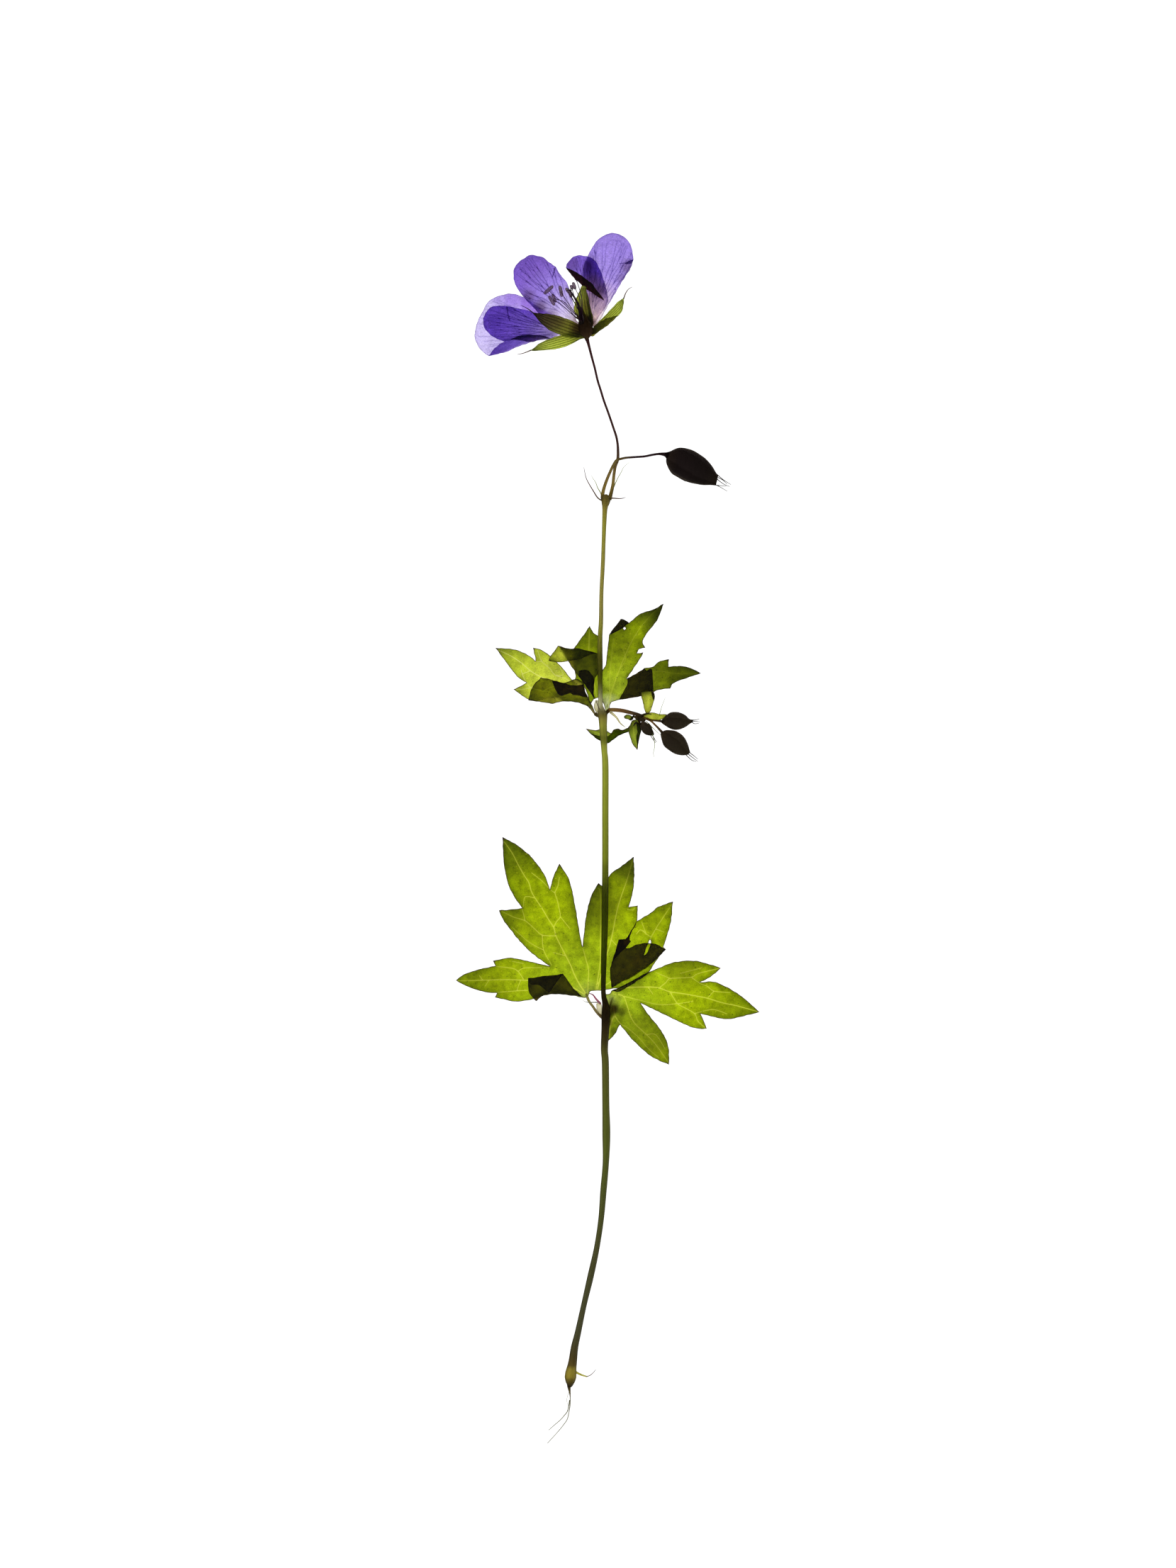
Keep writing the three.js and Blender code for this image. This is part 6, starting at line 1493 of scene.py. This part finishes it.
def makeStamens():
    z = stamens["height"]
    parts = []
    twoLobes = lambda a: 1 + 0.28 * np.abs(np.cos(a)) - 0.2 * np.exp(-(np.cos(a) / 0.25) ** 2)
    for drop, (start, end, half) in zip(stamens["drops"], stamens["anthers"]):
        route = [(start[0] + (end[0] - start[0]) * t, start[1] + (end[1] - start[1]) * t,
                  z - drop + 0.08 * math.sin(math.pi * t), half * r) for t, r in stamens["antherShape"]]
        parts.append(makeTube(route, antherSkin, sides=24, step=0.12, section=twoLobes, tall=0.8))
    thick, thinning = stamens["filamentWidth"], stamens["thinning"]
    for drop, line in zip(stamens["drops"], stamens["filaments"]):
        last = len(line) - 1
        route = [(x, y, z - drop * (i / last) ** 2, thick - thinning * i / last) for i, (x, y) in enumerate(line)]
        parts.append(makeTube(route, filamentSkin, sides=10, step=0.3))
    route = [(x, y, z + rise, width) for x, y, rise, width in stamens["column"]]
    parts.append(makeTube(route, columnSkin, sides=24, step=0.3, ribs=5, ribDepth=0.1, tall=0.75))
    x, y = stamens["column"][-1][:2]
    for turn in stamens["armTurns"]:
        angle = math.radians(turn)
        arm = [(x, y)] + [(x + r * math.cos(angle + bend), y + r * math.sin(angle + bend))
                          for r, bend in zip(stamens["armReach"], (0, 0.3))]
        parts += threads([arm], z, stamens["armWidth"], columnSkin)
    makePiece("stamenSet", parts, "stamen", "stamens")


makeStamens()
print("flower made")


# Surface, light and camera

tableForm = {"half": 4.0, "steps": 8}      # metres, and squares to a side
lampForm = {"place": (-0.5, -0.4, 1.7), "size": 1.6, "power": 3.0, "skyLight": 0.1}


def makeTable():
    # A wide plain pale surface, lit from below as a light table is
    half, steps = tableForm["half"], tableForm["steps"]
    mesh = bpy.data.meshes.new("paleTable")
    row = steps + 1
    ticks = [-half + 2 * half * i / steps for i in range(row)]
    faces = [(j * row + i, j * row + i + 1, (j + 1) * row + i + 1, (j + 1) * row + i)
             for j in range(steps) for i in range(steps)]
    mesh.from_pydata([(x, y, 0.0) for y in ticks for x in ticks], [], faces)
    table = bpy.data.objects.new("paleTable", mesh)
    scene.collection.objects.link(table)
    material, tree = newMaterial("litTable")
    cloud = addNode(tree, "ShaderNodeTexNoise", {"Vector": objectPlace(tree), "Scale": 3.0})
    white = mixColours(tree, cloud.outputs[0], grey(1.0), grey(0.985))
    surface = addNode(tree, "ShaderNodeBsdfPrincipled", {"Base Color": grey(0.75), "Roughness": 0.8,
                                                         "Emission Color": white,
                                                         "Emission Strength": lightFromBelow})
    addNode(tree, "ShaderNodeOutputMaterial", {"Surface": surface.outputs[0]})
    material.cycles.emission_sampling = "NONE"
    mesh.materials.append(material)


def makeLight():
    place = Vector(lampForm["place"])
    lamp = bpy.data.lights.new("softTop", "AREA")
    lamp.shape, lamp.size, lamp.energy = "DISK", lampForm["size"], lampForm["power"]
    top = bpy.data.objects.new("softTop", lamp)
    top.location = place
    top.rotation_euler = place.to_track_quat("Z", "Y").to_euler()
    scene.collection.objects.link(top)
    world = bpy.data.worlds.new("paleRoom")
    scene.world = world
    world.use_nodes = True
    tree = world.node_tree
    tree.nodes.clear()
    seen = addNode(tree, "ShaderNodeBackground", {"Color": grey(1.0), "Strength": lightFromBelow})
    soft = addNode(tree, "ShaderNodeBackground", {"Color": (0.95, 0.97, 1.0, 1.0), "Strength": lampForm["skyLight"]})
    path = addNode(tree, "ShaderNodeLightPath")
    both = addNode(tree, "ShaderNodeMixShader", {0: path.outputs["Is Camera Ray"], 1: soft.outputs[0],
                                                 2: seen.outputs[0]})
    addNode(tree, "ShaderNodeOutputWorld", {"Surface": both.outputs[0]})


cameraForm = {"lens": 135.0, "sensor": 36.0, "frameHeight": 331.8, "centre": (-4.125, 11.55)}


def makeCamera():
    # Straight above the plant, so high that the frame shows its height of the surface
    data = bpy.data.cameras.new("fromAbove")
    data.lens, data.sensor_width = cameraForm["lens"], cameraForm["sensor"]
    data.clip_start, data.clip_end = 0.01, 20.0
    camera = bpy.data.objects.new("fromAbove", data)
    x, y = cameraForm["centre"]
    camera.location = (x * mm, y * mm, cameraForm["frameHeight"] * mm * data.lens / data.sensor_width)
    scene.collection.objects.link(camera)
    scene.camera = camera


makeTable()
makeLight()
makeCamera()
scene.view_settings.view_transform = "Standard"
print("surface, light and camera made")

bpy.context.view_layer.update()
